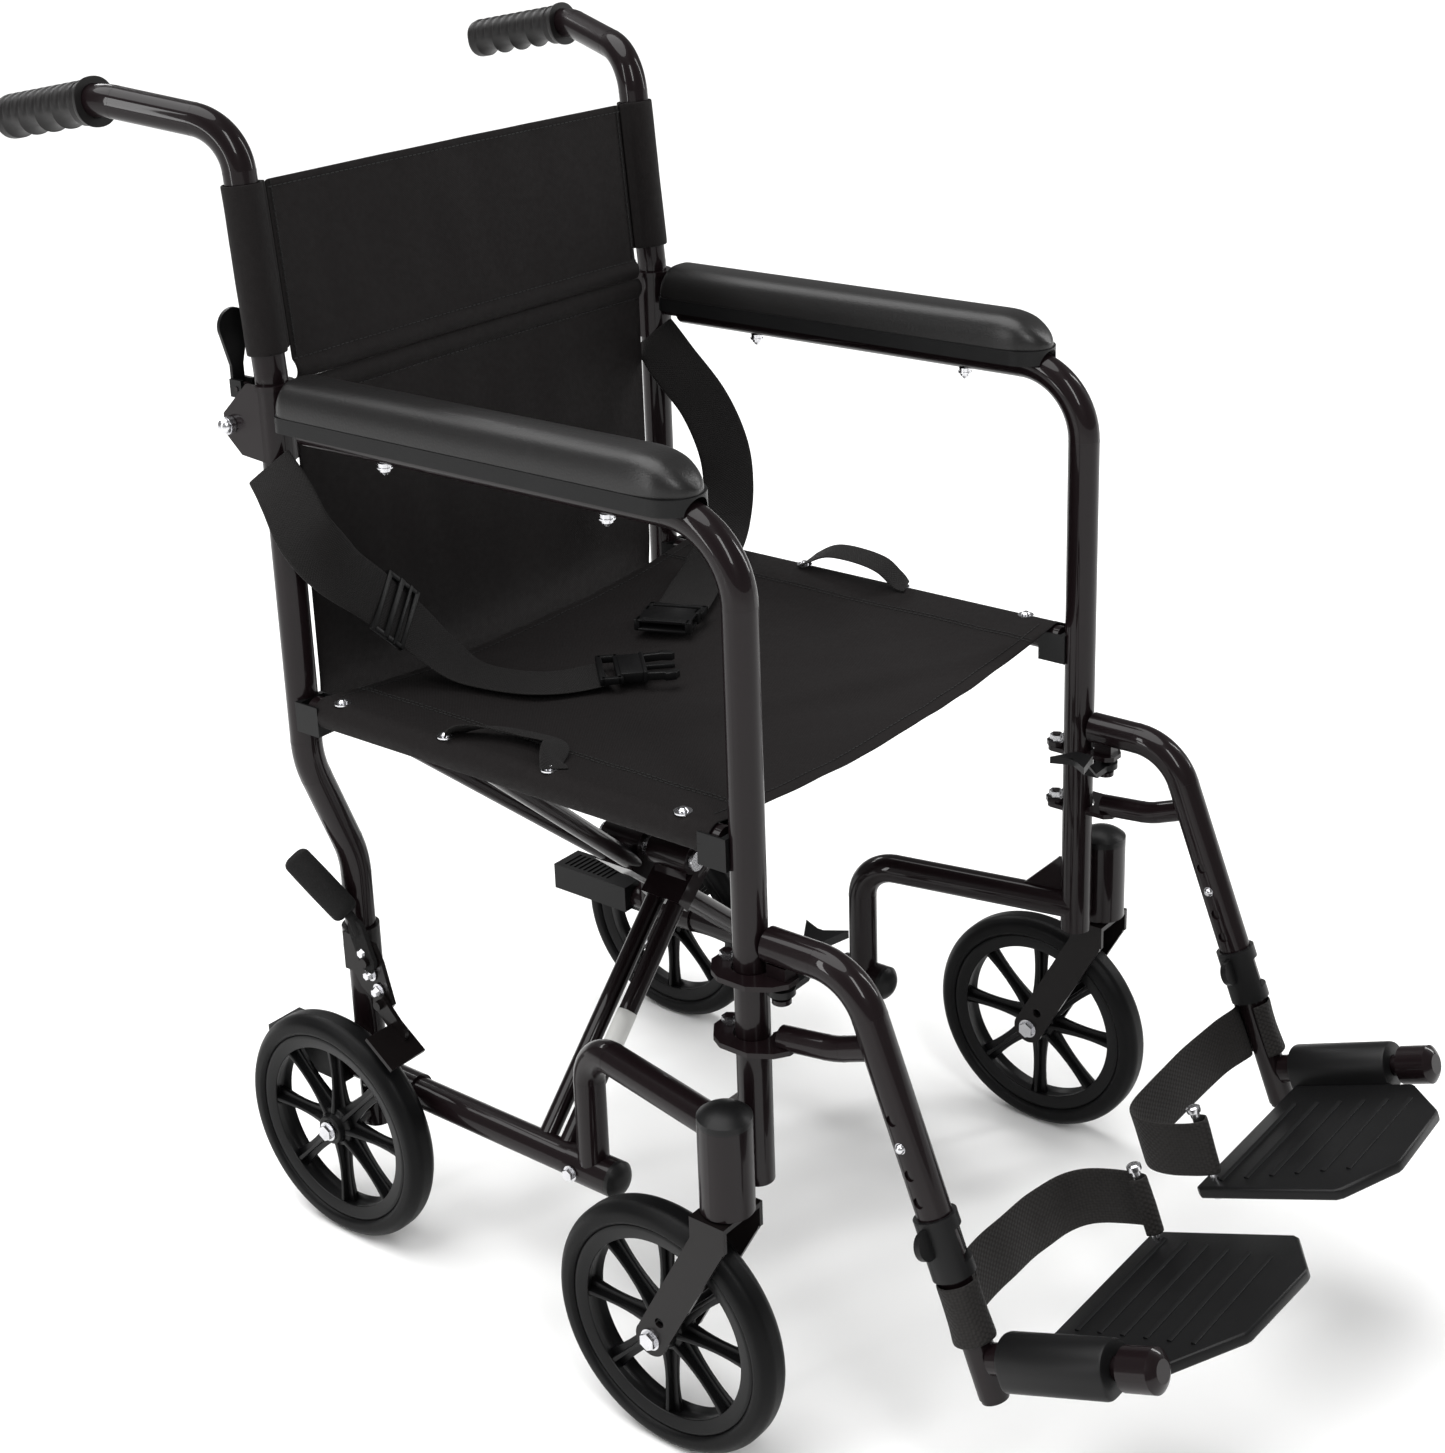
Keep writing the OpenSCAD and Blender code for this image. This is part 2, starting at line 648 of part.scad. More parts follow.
// Spring button that locks the leg length
module snap_button(hand) color(zinc) on_leg_face(hand) {
    translate([sleeve_r - 5, 0, 0]) rotate([0, 90, 0]) cylinder(h = 6.5, r = button_r);
    translate([sleeve_r + 1.5, 0, 0]) sphere(r = button_r - 0.4);
}

// Points of the footplate's outline, in the leg frame
function plate_outline() = [
    [-12, -26], [-plate_reach, -26], [-plate_reach, -plate_len + 5], [-plate_reach + 45, -plate_len - 26],
    [-62, -plate_len - 22], [-17, -plate_len + 20], [-17, -114], [-12, -109]
];

module footplate() {
    color(plastic) on_leg() translate([0, 0, -axle_drop]) {
        difference() {
            union() {
                along_y([0, -67, 0], 19, 86);
                block([0, -67, -8], [38, 86, 16]);
                translate([0, 0, -16]) linear_extrude(height = 9) polygon(plate_outline());
                for (i = [0 : 4]) block([-116 + i * 3, -50 - i * 21, -6.4], [104 - i * 6, 4, 1.4]);
            }
            along_y([0, -67, 0], 8 + run_fit, 100);
            translate([14 - plate_reach, -38, -17]) cylinder(h = 12, r = 3);
        }
    }
    // upright bolt that holds the heel loop
    color(zinc) on_leg() translate([-plate_reach + 14, -38, -axle_drop]) {
        translate([0, 0, -16]) cylinder(h = 67, r = 3);
        translate([0, 0, 48]) cylinder(h = 5, r = 5);
    }
}

// Elastic webbing from the leg tube to the bolt at the plate's inner rear corner
module heel_loop() color(cloth) on_leg() translate([0, 0, -axle_drop]) {
    difference() {
        translate([0, 0, 12]) cylinder(h = 46, r = sleeve_r + 5);
        translate([0, 0, 11]) cylinder(h = 48, r = sleeve_r + gap);
    }
    for (i = [0 : 3]) {
        a = [-12 - i * 40, 14 * sin(i * 60) + 5, 16 - i * 4];
        b = [-12 - (i + 1) * 40, 14 * sin((i + 1) * 60) + 5 - (i == 3 ? 42 : 0), 12 - i * 4];
        hull() {
            translate(a) cube([1.5, 1.5, 42]);
            translate(b) cube([1.5, 1.5, 42]);
        }
    }
}

// ---------- Brake ----------

module brake_bracket() color(paint) {
    difference() {
        union() {
            translate([low_x, ry, 244]) cylinder(h = 34, r = tr + 3);
            on_x(brake_x - 5) linear_extrude(height = 4, center = true)
                polygon([[ry - 8, 244], [ry - 8, 278], [lever_pivot.x - 4, 276], [lever_pivot.x - 12, 262],
                         [shoe_pivot.x - 10, 226], [shoe_pivot.x - 2, 216], [ry - 16, 232]]);
            block([low_x + 10, ry - 4, 261], [18, 12, 34]);
        }
        translate([low_x, ry, 240]) cylinder(h = 50, r = tr);
    }
    color(zinc) {
        along_x([brake_x - 1, lever_pivot.x, lever_pivot.y], 4, 14);
        along_x([brake_x - 1, shoe_pivot.x, shoe_pivot.y], 4, 14);
    }
}

module brake_lever() {
    start = [brake_x + 1, lever_pivot.x, lever_pivot.y];
    knee = [brake_x + 1, 206, 298];
    tip = [brake_x + 12, 248, 338];
    grip_dir = unit(tip - knee);
    color(paint) difference() {
        union() {
            on_x(brake_x) link([lever_pivot.x, lever_pivot.y], [202, 288], 9, 4);
            tube([[brake_x, 200, 284], knee, tip], 12, 4);
        }
        along_x(start, 4 + run_fit, 20);
    }
    color(rubber) difference() {
        union() {
            bar(knee + grip_dir * 14, tip, 11);
            translate(knee + grip_dir * 14) sphere(r = 10.8);
            translate(tip) sphere(r = 10.8);
        }
        bar(knee, tip + grip_dir * gap, 4 + gap);
    }
}

module brake_shoe() color(paint) {
    // the pressing plate faces the wheel's centre
    face = [rear_wheel_y, wheel_r] + (wheel_r + 20) * [-cos(54), sin(54)];
    difference() {
        union() {
            on_x(brake_x) link([shoe_pivot.x, shoe_pivot.y], [face.x + 4, face.y + 6], 8, 4);
            translate([rear_wheel_x - 3, face.x, face.y]) rotate([36, 0, 0])
                cube([38, 34, 3.5], center = true);
        }
        along_x([brake_x, shoe_pivot.x, shoe_pivot.y], 4 + run_fit, 20);
    }
}

// ---------- Back canes and soft parts ----------

module seat_sling() color(cloth) {
    y0 = fy + 24;
    y1 = ry - 27;
    top = seat_rail_height + rail_r + gap;
    flat = rail_x - 14;
    outline = [[rail_x + 12, top], [flat, top], [flat - 18, top - 10], [flat - 110, top - 15]];
    translate([0, y1, 0]) rotate([90, 0, 0]) linear_extrude(height = y1 - y0)
        polygon([
            for (p = outline) p,
            for (i = [len(outline) - 1 : -1 : 0]) [-outline[i].x, outline[i].y],
            for (p = outline) [-p.x, p.y + 3],
            for (i = [len(outline) - 1 : -1 : 0]) [outline[i].x, outline[i].y + 3]
        ]);
}

// Moves drawing into the leaning frame of the canes, from the height where the lean begins
module on_lean() { translate([0, ry, lean_z]) rotate([-cane_lean, 0, 0]) children(); }

module back_upper_panel() color(cloth) on_lean() {
    sleeve_low = 17;
    sleeve_high = (back_top - lean_z) / cos(cane_lean);
    thick = 2;
    for (s = [-1, 1]) difference() {
        translate([s * hx, 0, sleeve_low]) cylinder(h = sleeve_high - sleeve_low, r = tr + gap + thick);
        translate([s * hx, 0, sleeve_low - 1]) cylinder(h = sleeve_high, r = tr + gap);
    }
    width = post_spacing - 2 * (tr + gap + thick / 2);
    inner = post_spacing - 40;
    translate([-width / 2, -1.5, sleeve_low]) cube([width, 3, sleeve_high - sleeve_low]);
    translate([-inner / 2, -1.5, -8]) cube([inner, 3, sleeve_low + 9]);
}

module back_lower_panel() color(cloth) {
    width = post_spacing - 2 * (tr + gap);
    inner = post_spacing - 40;
    low = 455;
    narrow = joint_height - 20;
    beside_cradle = post_spacing - 2 * (tr + 5);
    cradle_top = seat_rail_height + 16;
    translate([-beside_cradle / 2, ry - 1.5, low]) cube([beside_cradle, 3, cradle_top - low + 1]);
    translate([-width / 2, ry - 1.5, cradle_top]) cube([width, 3, narrow - cradle_top]);
    translate([-inner / 2, ry - 1.5, narrow - 1]) cube([inner, 3, lean_z - 9 - narrow]);
}

// Flat webbing band through the points, as wide as width in height
module band(pts, width) {
    for (i = [0 : len(pts) - 2]) hull() {
        translate(pts[i]) cube([2, 2, width], center = true);
        translate(pts[i + 1]) cube([2, 2, width], center = true);
    }
}

module left_belt() color(cloth) {
    band([[hx + 17, ry - 20, 665], [hx + 14, ry - 60, 600], [hx + 6, ry - 74, 545]], 34);
    hull() {
        translate([hx + 6, ry - 74, 545]) cube([2, 2, 34], center = true);
        translate([150, 98, 500]) cube([30, 40, 3], center = true);
    }
    block([78, 84, 499], [150, 44, 8]);
}

module right_belt() color(cloth) {
    band([[-hx - 17, ry - 18, 668], [-hx + 6, ry - 40, 605], [-150, ry - 48, 560]], 34);
    hull() {
        translate([-150, ry - 48, 560]) cube([2, 2, 34], center = true);
        translate([-118, 92, 500]) cube([30, 40, 3], center = true);
    }
    block([-84, 70, 499], [110, 44, 8]);
}

// ---------- Placement ----------

module on_left() { translate([0, depth_shift, 0]) children(); }
module on_right() { translate([0, depth_shift, 0]) mirror([1, 0, 0]) children(); }

on_left() front_frame();  // left_front_frame
on_right() front_frame();  // right_front_frame
on_left() rear_post();  // left_rear_post
on_right() rear_post();  // right_rear_post
on_left() back_saddle();  // left_back_saddle
on_right() back_saddle();  // right_back_saddle
on_left() back_cane();  // left_back_cane
on_right() back_cane();  // right_back_cane
on_left() push_grip();  // left_push_grip
on_right() push_grip();  // right_push_grip
on_left() back_latch();  // left_back_latch
on_right() back_latch();  // right_back_latch
on_left() arm_pad();  // left_arm_pad
on_right() arm_pad();  // right_arm_pad
on_left() arm_base();  // left_arm_base
on_right() arm_base();  // right_arm_base
on_left() caster_fork();  // left_caster_fork
on_right() caster_fork();  // right_caster_fork
on_left() caster_bolts();  // left_caster_bolts
on_right() caster_bolts();  // right_caster_bolts
on_left() front_wheel();  // left_front_wheel
on_right() front_wheel();  // right_front_wheel
on_left() front_tyre();  // left_front_tyre
on_right() front_tyre();  // right_front_tyre
on_left() rear_wheel();  // left_rear_wheel
on_right() rear_wheel();  // right_rear_wheel
on_left() rear_tyre();  // left_rear_tyre
on_right() rear_tyre();  // right_rear_tyre
on_left() frame_bolts();  // left_frame_bolts
on_right() frame_bolts();  // right_frame_bolts
on_left() brake_bracket();  // left_brake_bracket
on_right() brake_bracket();  // right_brake_bracket
on_left() brake_lever();  // left_brake_lever
on_right() brake_lever();  // right_brake_lever
on_left() brake_shoe();  // left_brake_shoe
on_right() brake_shoe();  // right_brake_shoe
on_left() frame_plastics();  // left_frame_plastics
on_right() frame_plastics();  // right_frame_plastics
on_left() hanger(-1);  // left_hanger
on_right() hanger(1);  // right_hanger
on_left() hanger_latch();  // left_hanger_latch
on_right() hanger_latch();  // right_hanger_latch
on_left() leg_tube(-1);  // left_leg_tube
on_right() leg_tube(1);  // right_leg_tube
on_left() leg_collar(-1);  // left_leg_collar
on_right() leg_collar(1);  // right_leg_collar
on_left() snap_button(-1);  // left_snap_button
on_right() snap_button(1);  // right_snap_button
on_left() footplate();  // left_footplate
on_right() footplate();  // right_footplate
on_left() heel_loop();  // left_heel_loop
on_right() heel_loop();  // right_heel_loop
on_left() left_belt();  // left_lap_belt
on_left() right_belt();  // right_lap_belt
on_left() cross_arm_a();
on_left() cross_arm_b();
on_left() cross_pivot_bolt();
on_left() seat_sling();
on_left() back_upper_panel();
on_left() back_lower_panel();
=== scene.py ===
import json
import math
import bmesh
import bpy
import numpy as np
from mathutils import Matrix, Vector, noise


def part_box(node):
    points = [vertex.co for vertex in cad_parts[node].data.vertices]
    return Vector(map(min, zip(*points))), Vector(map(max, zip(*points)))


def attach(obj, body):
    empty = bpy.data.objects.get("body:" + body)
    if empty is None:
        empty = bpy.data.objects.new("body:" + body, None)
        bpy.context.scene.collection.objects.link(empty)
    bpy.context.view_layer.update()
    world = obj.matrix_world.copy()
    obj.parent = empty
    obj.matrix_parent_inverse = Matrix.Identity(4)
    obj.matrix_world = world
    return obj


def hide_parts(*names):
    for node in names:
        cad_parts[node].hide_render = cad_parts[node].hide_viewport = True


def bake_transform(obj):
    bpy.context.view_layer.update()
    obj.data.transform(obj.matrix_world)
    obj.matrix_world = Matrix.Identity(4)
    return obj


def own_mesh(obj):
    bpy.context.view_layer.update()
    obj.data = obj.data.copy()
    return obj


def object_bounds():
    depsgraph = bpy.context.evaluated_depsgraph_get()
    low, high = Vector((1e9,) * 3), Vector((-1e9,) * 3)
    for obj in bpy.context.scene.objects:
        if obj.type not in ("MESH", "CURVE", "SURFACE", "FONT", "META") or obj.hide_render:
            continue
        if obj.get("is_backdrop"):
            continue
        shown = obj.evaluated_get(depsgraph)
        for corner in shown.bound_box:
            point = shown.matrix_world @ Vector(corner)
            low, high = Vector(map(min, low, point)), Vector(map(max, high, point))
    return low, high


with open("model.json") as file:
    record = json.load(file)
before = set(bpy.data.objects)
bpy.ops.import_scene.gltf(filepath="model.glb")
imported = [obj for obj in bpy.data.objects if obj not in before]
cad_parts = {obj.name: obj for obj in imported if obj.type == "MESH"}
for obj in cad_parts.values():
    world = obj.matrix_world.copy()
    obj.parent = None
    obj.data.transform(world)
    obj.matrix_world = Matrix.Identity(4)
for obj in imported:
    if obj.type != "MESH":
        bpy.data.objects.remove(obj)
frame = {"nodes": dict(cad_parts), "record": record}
cadBox = [list(p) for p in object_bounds()]
sides = {"right": -1, "left": 1}

chair = {                      # places shared with the CAD source, in metres and degrees
    "depthShift": 0.0604,      # the side frame's own depth 0 lies midway between the posts
    "postX": 0.225,
    "rearPostY": 0.222,
    "railX": 0.226,
    "railZ": 0.490,
    "railR": 0.011,
    "leanZ": 0.760,
    "leanDeg": 5.0,
    "legLean": 21.0,
    "legOrigin": (0.223, -0.355, 0.307),
    "axleDrop": 0.161,
    "gripOrigin": (0.262, 0.355, 0.962),
    "gripDrop": 10.2,
    "foldKeep": 0.28,          # share of the seat's width that is left when folded
}


def place(x, y, z):            # side frame depth to the shared frame
    return np.array([x, y + chair["depthShift"], z])


def turnedFrame(origin, degrees, k):   # a frame turned about X, mirrored for the right side
    a = math.radians(degrees)
    def toShared(p):
        x, y, z = p
        return place(k * (origin[0] + x), origin[1] + y * math.cos(a) + z * math.sin(a),
                     origin[2] - y * math.sin(a) + z * math.cos(a))
    return toShared


def legFrame(k):               # local -Z runs down the leg, local -Y runs forward along the axle
    return turnedFrame(chair["legOrigin"], chair["legLean"], k)


def gripFrame(k):              # local +Y runs back along the handle
    return turnedFrame(chair["gripOrigin"], chair["gripDrop"], k)


def leanFrame():               # local +Z runs up the leaning canes
    return turnedFrame((0, chair["rearPostY"], chair["leanZ"]), chair["leanDeg"], 1)


# Shader helpers

def addNode(tree, kind, inputs=None, **settings):
    made = tree.nodes.new(kind)
    for key, value in settings.items():
        setattr(made, key, value)
    for key, value in (inputs or {}).items():
        if isinstance(value, bpy.types.NodeSocket):
            tree.links.new(value, made.inputs[key])
        else:
            made.inputs[key].default_value = value
    return made


def mathNode(tree, operation, a, b=0.0, c=0.5, clamp=False):   # the third value counts in MULTIPLY_ADD only
    return addNode(tree, "ShaderNodeMath", {0: a, 1: b, 2: c}, operation=operation,
                   use_clamp=clamp).outputs[0]


def shaderGroup(name, ins, outs):
    tree = bpy.data.node_groups.new(name, "ShaderNodeTree")
    for label, kind, value in ins:
        socket = tree.interface.new_socket(name=label, in_out="INPUT", socket_type=kind)
        if value is not None:
            socket.default_value = value
    for label, kind in outs:
        tree.interface.new_socket(name=label, in_out="OUTPUT", socket_type=kind)
    return tree, tree.nodes.new("NodeGroupInput"), tree.nodes.new("NodeGroupOutput")


def makeToneGroup():           # slow and fine drift of tone over a surface
    tree, given, result = shaderGroup(
        "toneDrift", [("Vector", "NodeSocketVector", None), ("Scale", "NodeSocketFloat", 12.0)],
        [("Slow", "NodeSocketFloat"), ("Fine", "NodeSocketFloat")])
    slow = addNode(tree, "ShaderNodeTexNoise", {"Vector": given.outputs[0], "Scale": given.outputs[1],
                                                "Detail": 4.0, "Roughness": 0.55})
    fineScale = mathNode(tree, "MULTIPLY", given.outputs[1], 28.0)
    fine = addNode(tree, "ShaderNodeTexNoise", {"Vector": given.outputs[0], "Scale": fineScale,
                                                "Detail": 2.0})
    tree.links.new(slow.outputs[0], result.inputs[0])
    tree.links.new(fine.outputs[0], result.inputs[1])
    return tree


def makePebbleGroup():         # leather and moulded grain
    tree, given, result = shaderGroup(
        "pebbleGrain", [("Vector", "NodeSocketVector", None), ("Scale", "NodeSocketFloat", 700.0)],
        [("Height", "NodeSocketFloat")])
    warp = addNode(tree, "ShaderNodeTexNoise", {"Vector": given.outputs[0], "Scale": 220.0})
    mixed = addNode(tree, "ShaderNodeMix", {0: 0.004, 4: given.outputs[0], 5: warp.outputs[1]},
                    data_type="VECTOR")
    cells = addNode(tree, "ShaderNodeTexVoronoi", {"Vector": mixed.outputs[1], "Scale": given.outputs[1]},
                    feature="SMOOTH_F1")
    tree.links.new(cells.outputs[0], result.inputs[0])
    return tree


def makeWeaveGroup():          # over and under threads on a map in metres, with a mask of the thread crowns for a painted highlight
    tree, given, result = shaderGroup(
        "threadWeave", [("Vector", "NodeSocketVector", None), ("Across", "NodeSocketFloat", 0.0012),
                        ("Along", "NodeSocketFloat", 0.0012)],
        [("Height", "NodeSocketFloat"), ("Crown Highlight", "NodeSocketFloat")])
    parts = addNode(tree, "ShaderNodeSeparateXYZ", {0: given.outputs[0]})
    waves = []
    for axis, size in ((0, 1), (1, 2)):
        turns = mathNode(tree, "DIVIDE", parts.outputs[axis], given.outputs[size])
        waves.append(mathNode(tree, "SINE", mathNode(tree, "MULTIPLY", turns, math.pi)))
    cross = mathNode(tree, "MULTIPLY", waves[0], waves[1])
    height = mathNode(tree, "MULTIPLY_ADD", cross, 0.5, 0.5)
    tree.links.new(height, result.inputs[0])
    tree.links.new(mathNode(tree, "ABSOLUTE", cross), result.inputs[1])
    return tree


def makeRubGroup():            # thin scuffs and handling marks
    tree, given, result = shaderGroup(
        "rubMarks", [("Vector", "NodeSocketVector", None), ("Scale", "NodeSocketFloat", 60.0),
                     ("Limit", "NodeSocketFloat", 0.62)],
        [("Mask", "NodeSocketFloat")])
    stretched = addNode(tree, "ShaderNodeMapping", {"Vector": given.outputs[0], "Scale": (1, 1, 0.25),
                                                    "Rotation": (0.5, 0.9, 0.2)})
    marks = addNode(tree, "ShaderNodeTexNoise", {"Vector": stretched.outputs[0], "Scale": given.outputs[1],
                                                 "Detail": 6.0, "Roughness": 0.7})
    mask = addNode(tree, "ShaderNodeMapRange", {0: marks.outputs[0], 1: given.outputs[2], 2: 0.8})
    tree.links.new(mask.outputs[0], result.inputs[0])
    return tree


groups = {"tone": makeToneGroup(), "pebble": makePebbleGroup(), "weave": makeWeaveGroup(),
          "rub": makeRubGroup()}

finishes = {   # colour, roughness, metallic, coat, gloss, what the surface shows, and how deep it is
    "framePaint": dict(colour=(0.0062, 0.0036, 0.0042), rough=0.34, coat=0.34, coatRough=0.04, gloss=0.06,
                       scale=9.0, drift=0.25, fine=0.02, rub=0.08),
    "forkPaint": dict(colour=(0.0050, 0.0040, 0.0040), rough=0.36, coat=0.24, coatRough=0.08, gloss=0.08,
                      scale=14.0, drift=0.25, fine=0.03, rub=0.08),
    "zincPlate": dict(colour=(0.60, 0.60, 0.62), rough=0.25, metal=1.0, scale=60.0, drift=0.3, fine=0.05,
                      rub=0.12),
    "blackPlastic": dict(colour=(0.0048, 0.0048, 0.0050), rough=0.40, gloss=0.18, scale=20.0, drift=0.3,
                         fine=0.05, pebble=1500.0, depth=0.10, rub=0.08),
    "wheelPlastic": dict(colour=(0.0030, 0.0030, 0.0032), rough=0.34, gloss=0.14, scale=25.0, drift=0.25,
                         fine=0.05, pebble=1800.0, depth=0.06, rub=0.08),
    "padVinyl": dict(colour=(0.0058, 0.0054, 0.0054), rough=0.40, coat=0.16, coatRough=0.30, gloss=0.30,
                     scale=12.0, drift=0.35, fine=0.06, pebble=620.0, depth=0.30, rub=0.12),
    "gripRubber": dict(colour=(0.0064, 0.0058, 0.0058), rough=0.50, gloss=0.26, scale=25.0, drift=0.3,
                       fine=0.08, pebble=1400.0, depth=0.12, rub=0.12),
    "gripFoam": dict(colour=(0.0080, 0.0078, 0.0078), rough=0.88, gloss=0.16, scale=30.0, drift=0.3, fine=0.3,
                     pebble=900.0, depth=0.50, rub=0.0),
    "tyreRubber": dict(colour=(0.0028, 0.0028, 0.0030), rough=0.44, gloss=0.10, scale=18.0, drift=0.35,
                       fine=0.10, pebble=900.0, depth=0.08, rub=0.12),
    "webbing": dict(colour=(0.0062, 0.0056, 0.0055), rough=0.68, gloss=0.17, scale=16.0, drift=0.3, fine=0.1,
                    weave=(0.0016, 0.0011), depth=0.85, sheen=0.02),
    "nylonCloth": dict(colour=(0.0050, 0.0040, 0.0040), rough=0.70, gloss=0.13, scale=7.0, drift=0.4,
                       fine=0.12, weave=(0.00085, 0.00085), depth=0.40, sheen=0.012),
    "meshWebbing": dict(colour=(0.0125, 0.0115, 0.0110), rough=0.78, gloss=0.16, scale=16.0, drift=0.4,
                        fine=0.15, weave=(0.0021, 0.0026), depth=1.0, sheen=0.03),
    "labelPaper": dict(colour=(0.62, 0.62, 0.60), rough=0.50, scale=40.0, drift=0.12, fine=0.05),
    "threadBlack": dict(colour=(0.011, 0.011, 0.011), rough=0.65, gloss=0.2, scale=60.0, drift=0.3, fine=0.2,
                        sheen=0.05),
    "paleFloor": dict(colour=(0.86, 0.86, 0.855), rough=0.75, gloss=0.2, scale=2.0, drift=0.01, fine=0.01),
}


def makeMaterial(name, spec):
    material = bpy.data.materials.new(name)
    material.use_nodes = True
    tree = material.node_tree
    shader = tree.nodes["Principled BSDF"]
    shader.inputs["Metallic"].default_value = spec.get("metal", 0.0)
    shader.inputs["Specular IOR Level"].default_value = spec.get("gloss", 0.5)
    shader.inputs["Coat Weight"].default_value = spec.get("coat", 0.0)
    shader.inputs["Coat Roughness"].default_value = spec.get("coatRough", 0.1)
    shader.inputs["Sheen Weight"].default_value = spec.get("sheen", 0.0)
    shader.inputs["Sheen Roughness"].default_value = 0.5
    spots = addNode(tree, "ShaderNodeTexCoord")
    where = spots.outputs["UV" if "weave" in spec else "Object"]
    tone = addNode(tree, "ShaderNodeGroup", node_tree=groups["tone"])
    tree.links.new(spots.outputs["Object"], tone.inputs["Vector"])
    tone.inputs["Scale"].default_value = spec["scale"]
    colour = Vector(spec["colour"])
    low, high = colour * (1 - spec["drift"]), colour * (1 + spec["drift"])
    paint = addNode(tree, "ShaderNodeMix", {0: tone.outputs["Slow"], 6: (*low, 1), 7: (*high, 1)},
                    data_type="RGBA")
    mixed = paint.outputs[2]
    rough = mathNode(tree, "MULTIPLY_ADD", tone.outputs["Fine"], spec["fine"] * 2,
                     spec["rough"] - spec["fine"])
    if spec.get("rub"):
        rub = addNode(tree, "ShaderNodeGroup", node_tree=groups["rub"])
        tree.links.new(spots.outputs["Object"], rub.inputs["Vector"])
        worn = addNode(tree, "ShaderNodeMix", {0: mathNode(tree, "MULTIPLY", rub.outputs[0], spec["rub"]),
                                               6: mixed, 7: (*(colour * 2.2), 1)}, data_type="RGBA")
        mixed = worn.outputs[2]
        rough = mathNode(tree, "ADD", rough, mathNode(tree, "MULTIPLY", rub.outputs[0], spec["rub"]),
                         clamp=True)
    height = mathNode(tree, "MULTIPLY", tone.outputs["Fine"], 0.25)
    if "pebble" in spec:
        grain = addNode(tree, "ShaderNodeGroup", node_tree=groups["pebble"])
        tree.links.new(where, grain.inputs["Vector"])
        grain.inputs["Scale"].default_value = spec["pebble"]
        height = mathNode(tree, "ADD", height, grain.outputs[0])
    if "weave" in spec:
        weave = addNode(tree, "ShaderNodeGroup", node_tree=groups["weave"])
        tree.links.new(where, weave.inputs["Vector"])
        weave.inputs["Across"].default_value, weave.inputs["Along"].default_value = spec["weave"]
        height = mathNode(tree, "ADD", height, weave.outputs["Height"])
        # painted highlight: the thread crowns are lightened towards 1.9 times the colour, and the gaps
        # between them stay darker as painted shade
        lit = addNode(tree, "ShaderNodeMix", {0: mathNode(tree, "MULTIPLY", weave.outputs["Crown Highlight"], 0.6),
                                              6: mixed, 7: (*(colour * 1.9), 1)}, data_type="RGBA")
        mixed = lit.outputs[2]
    tree.links.new(mixed, shader.inputs["Base Color"])
    tree.links.new(rough, shader.inputs["Roughness"])
    bump = addNode(tree, "ShaderNodeBump", {"Height": height, "Strength": spec.get("depth", 0.03),
                                            "Distance": 0.0004})
    tree.links.new(bump.outputs[0], shader.inputs["Normal"])
    return material


looks = {name: makeMaterial(name, spec) for name, spec in finishes.items()}
slotLooks = {"frame_paint": "framePaint", "fork_paint": "forkPaint", "zinc": "zincPlate",
             "black_plastic": "blackPlastic", "wheel_plastic": "wheelPlastic", "pad_vinyl": "padVinyl",
             "grip_rubber": "gripRubber", "grip_foam": "gripFoam", "tyre_rubber": "tyreRubber",
             "webbing": "webbing", "nylon_cloth": "nylonCloth"}
lookSlots = {look: name for name, look in slotLooks.items()}
lookSlots.update(meshWebbing="webbing", labelPaper="black_plastic", threadBlack="nylon_cloth")
print("materials made:", len(looks))


# Mesh helpers

def finishMesh(name, mesh, look, body=None, replaced=(), smooth=35.0):
    mesh.materials.clear()
    mesh.materials.append(looks[look])
    for polygon in mesh.polygons:
        polygon.use_smooth = True
    mesh.set_sharp_from_angle(angle=math.radians(smooth))
    piece = bpy.data.objects.new(name, mesh)
    bpy.context.scene.collection.objects.link(piece)
    if body:
        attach(piece, body)
    if replaced:
        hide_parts(*replaced)
    return piece


def meshFrom(bm, name):
    mesh = bpy.data.meshes.new(name)
    bm.to_mesh(mesh)
    bm.free()
    return mesh


def surface(name, grid, spans=None, weld=False, fill=False):   # grid is rows by columns of points
    rows, columns = grid.shape[:2]
    bm = bmesh.new()
    points = [bm.verts.new(p) for p in grid.reshape(-1, 3)]
    uvLayer = bm.loops.layers.uv.new("clothMap")
    if spans is None:
        across = np.cumsum(np.r_[0, np.linalg.norm(np.diff(grid[rows // 2], axis=0), axis=1)])
        along = np.cumsum(np.r_[0, np.linalg.norm(np.diff(grid[:, columns // 2], axis=0), axis=1)])
        spans = (across, along)
    for i in range(rows - 1):
        for j in range(columns - 1):
            corners = [(i, j), (i, j + 1), (i + 1, j + 1), (i + 1, j)]
            face = bm.faces.new([points[a * columns + b] for a, b in corners])
            for loop, (a, b) in zip(face.loops, corners):
                loop[uvLayer].uv = (spans[0][b], spans[1][a])
    if weld:
        bmesh.ops.remove_doubles(bm, verts=bm.verts, dist=1e-6)
    if fill:
        bmesh.ops.holes_fill(bm, edges=bm.edges, sides=0)
    if weld or fill:
        bmesh.ops.recalc_face_normals(bm, faces=bm.faces)
    return meshFrom(bm, name)


def smoothCurve(points, steps):     # a curve through the points, evenly stepped between them
    p = np.array(points, float)
    p = np.vstack([2 * p[0] - p[1], p, 2 * p[-1] - p[-2]])
    out = []
    for i in range(1, len(p) - 2):
        for t in np.linspace(0, 1, steps, endpoint=False):
            a, b, c, d = p[i - 1:i + 3]
            out.append(0.5 * (2 * b + (c - a) * t + (2 * a - 5 * b + 4 * c - d) * t * t
                              + (3 * b - a - 3 * c + d) * t ** 3))
    out.append(p[-2])
    return np.array(out)


def unit(v):
    return v / np.maximum(np.linalg.norm(v, axis=-1, keepdims=True), 1e-9)


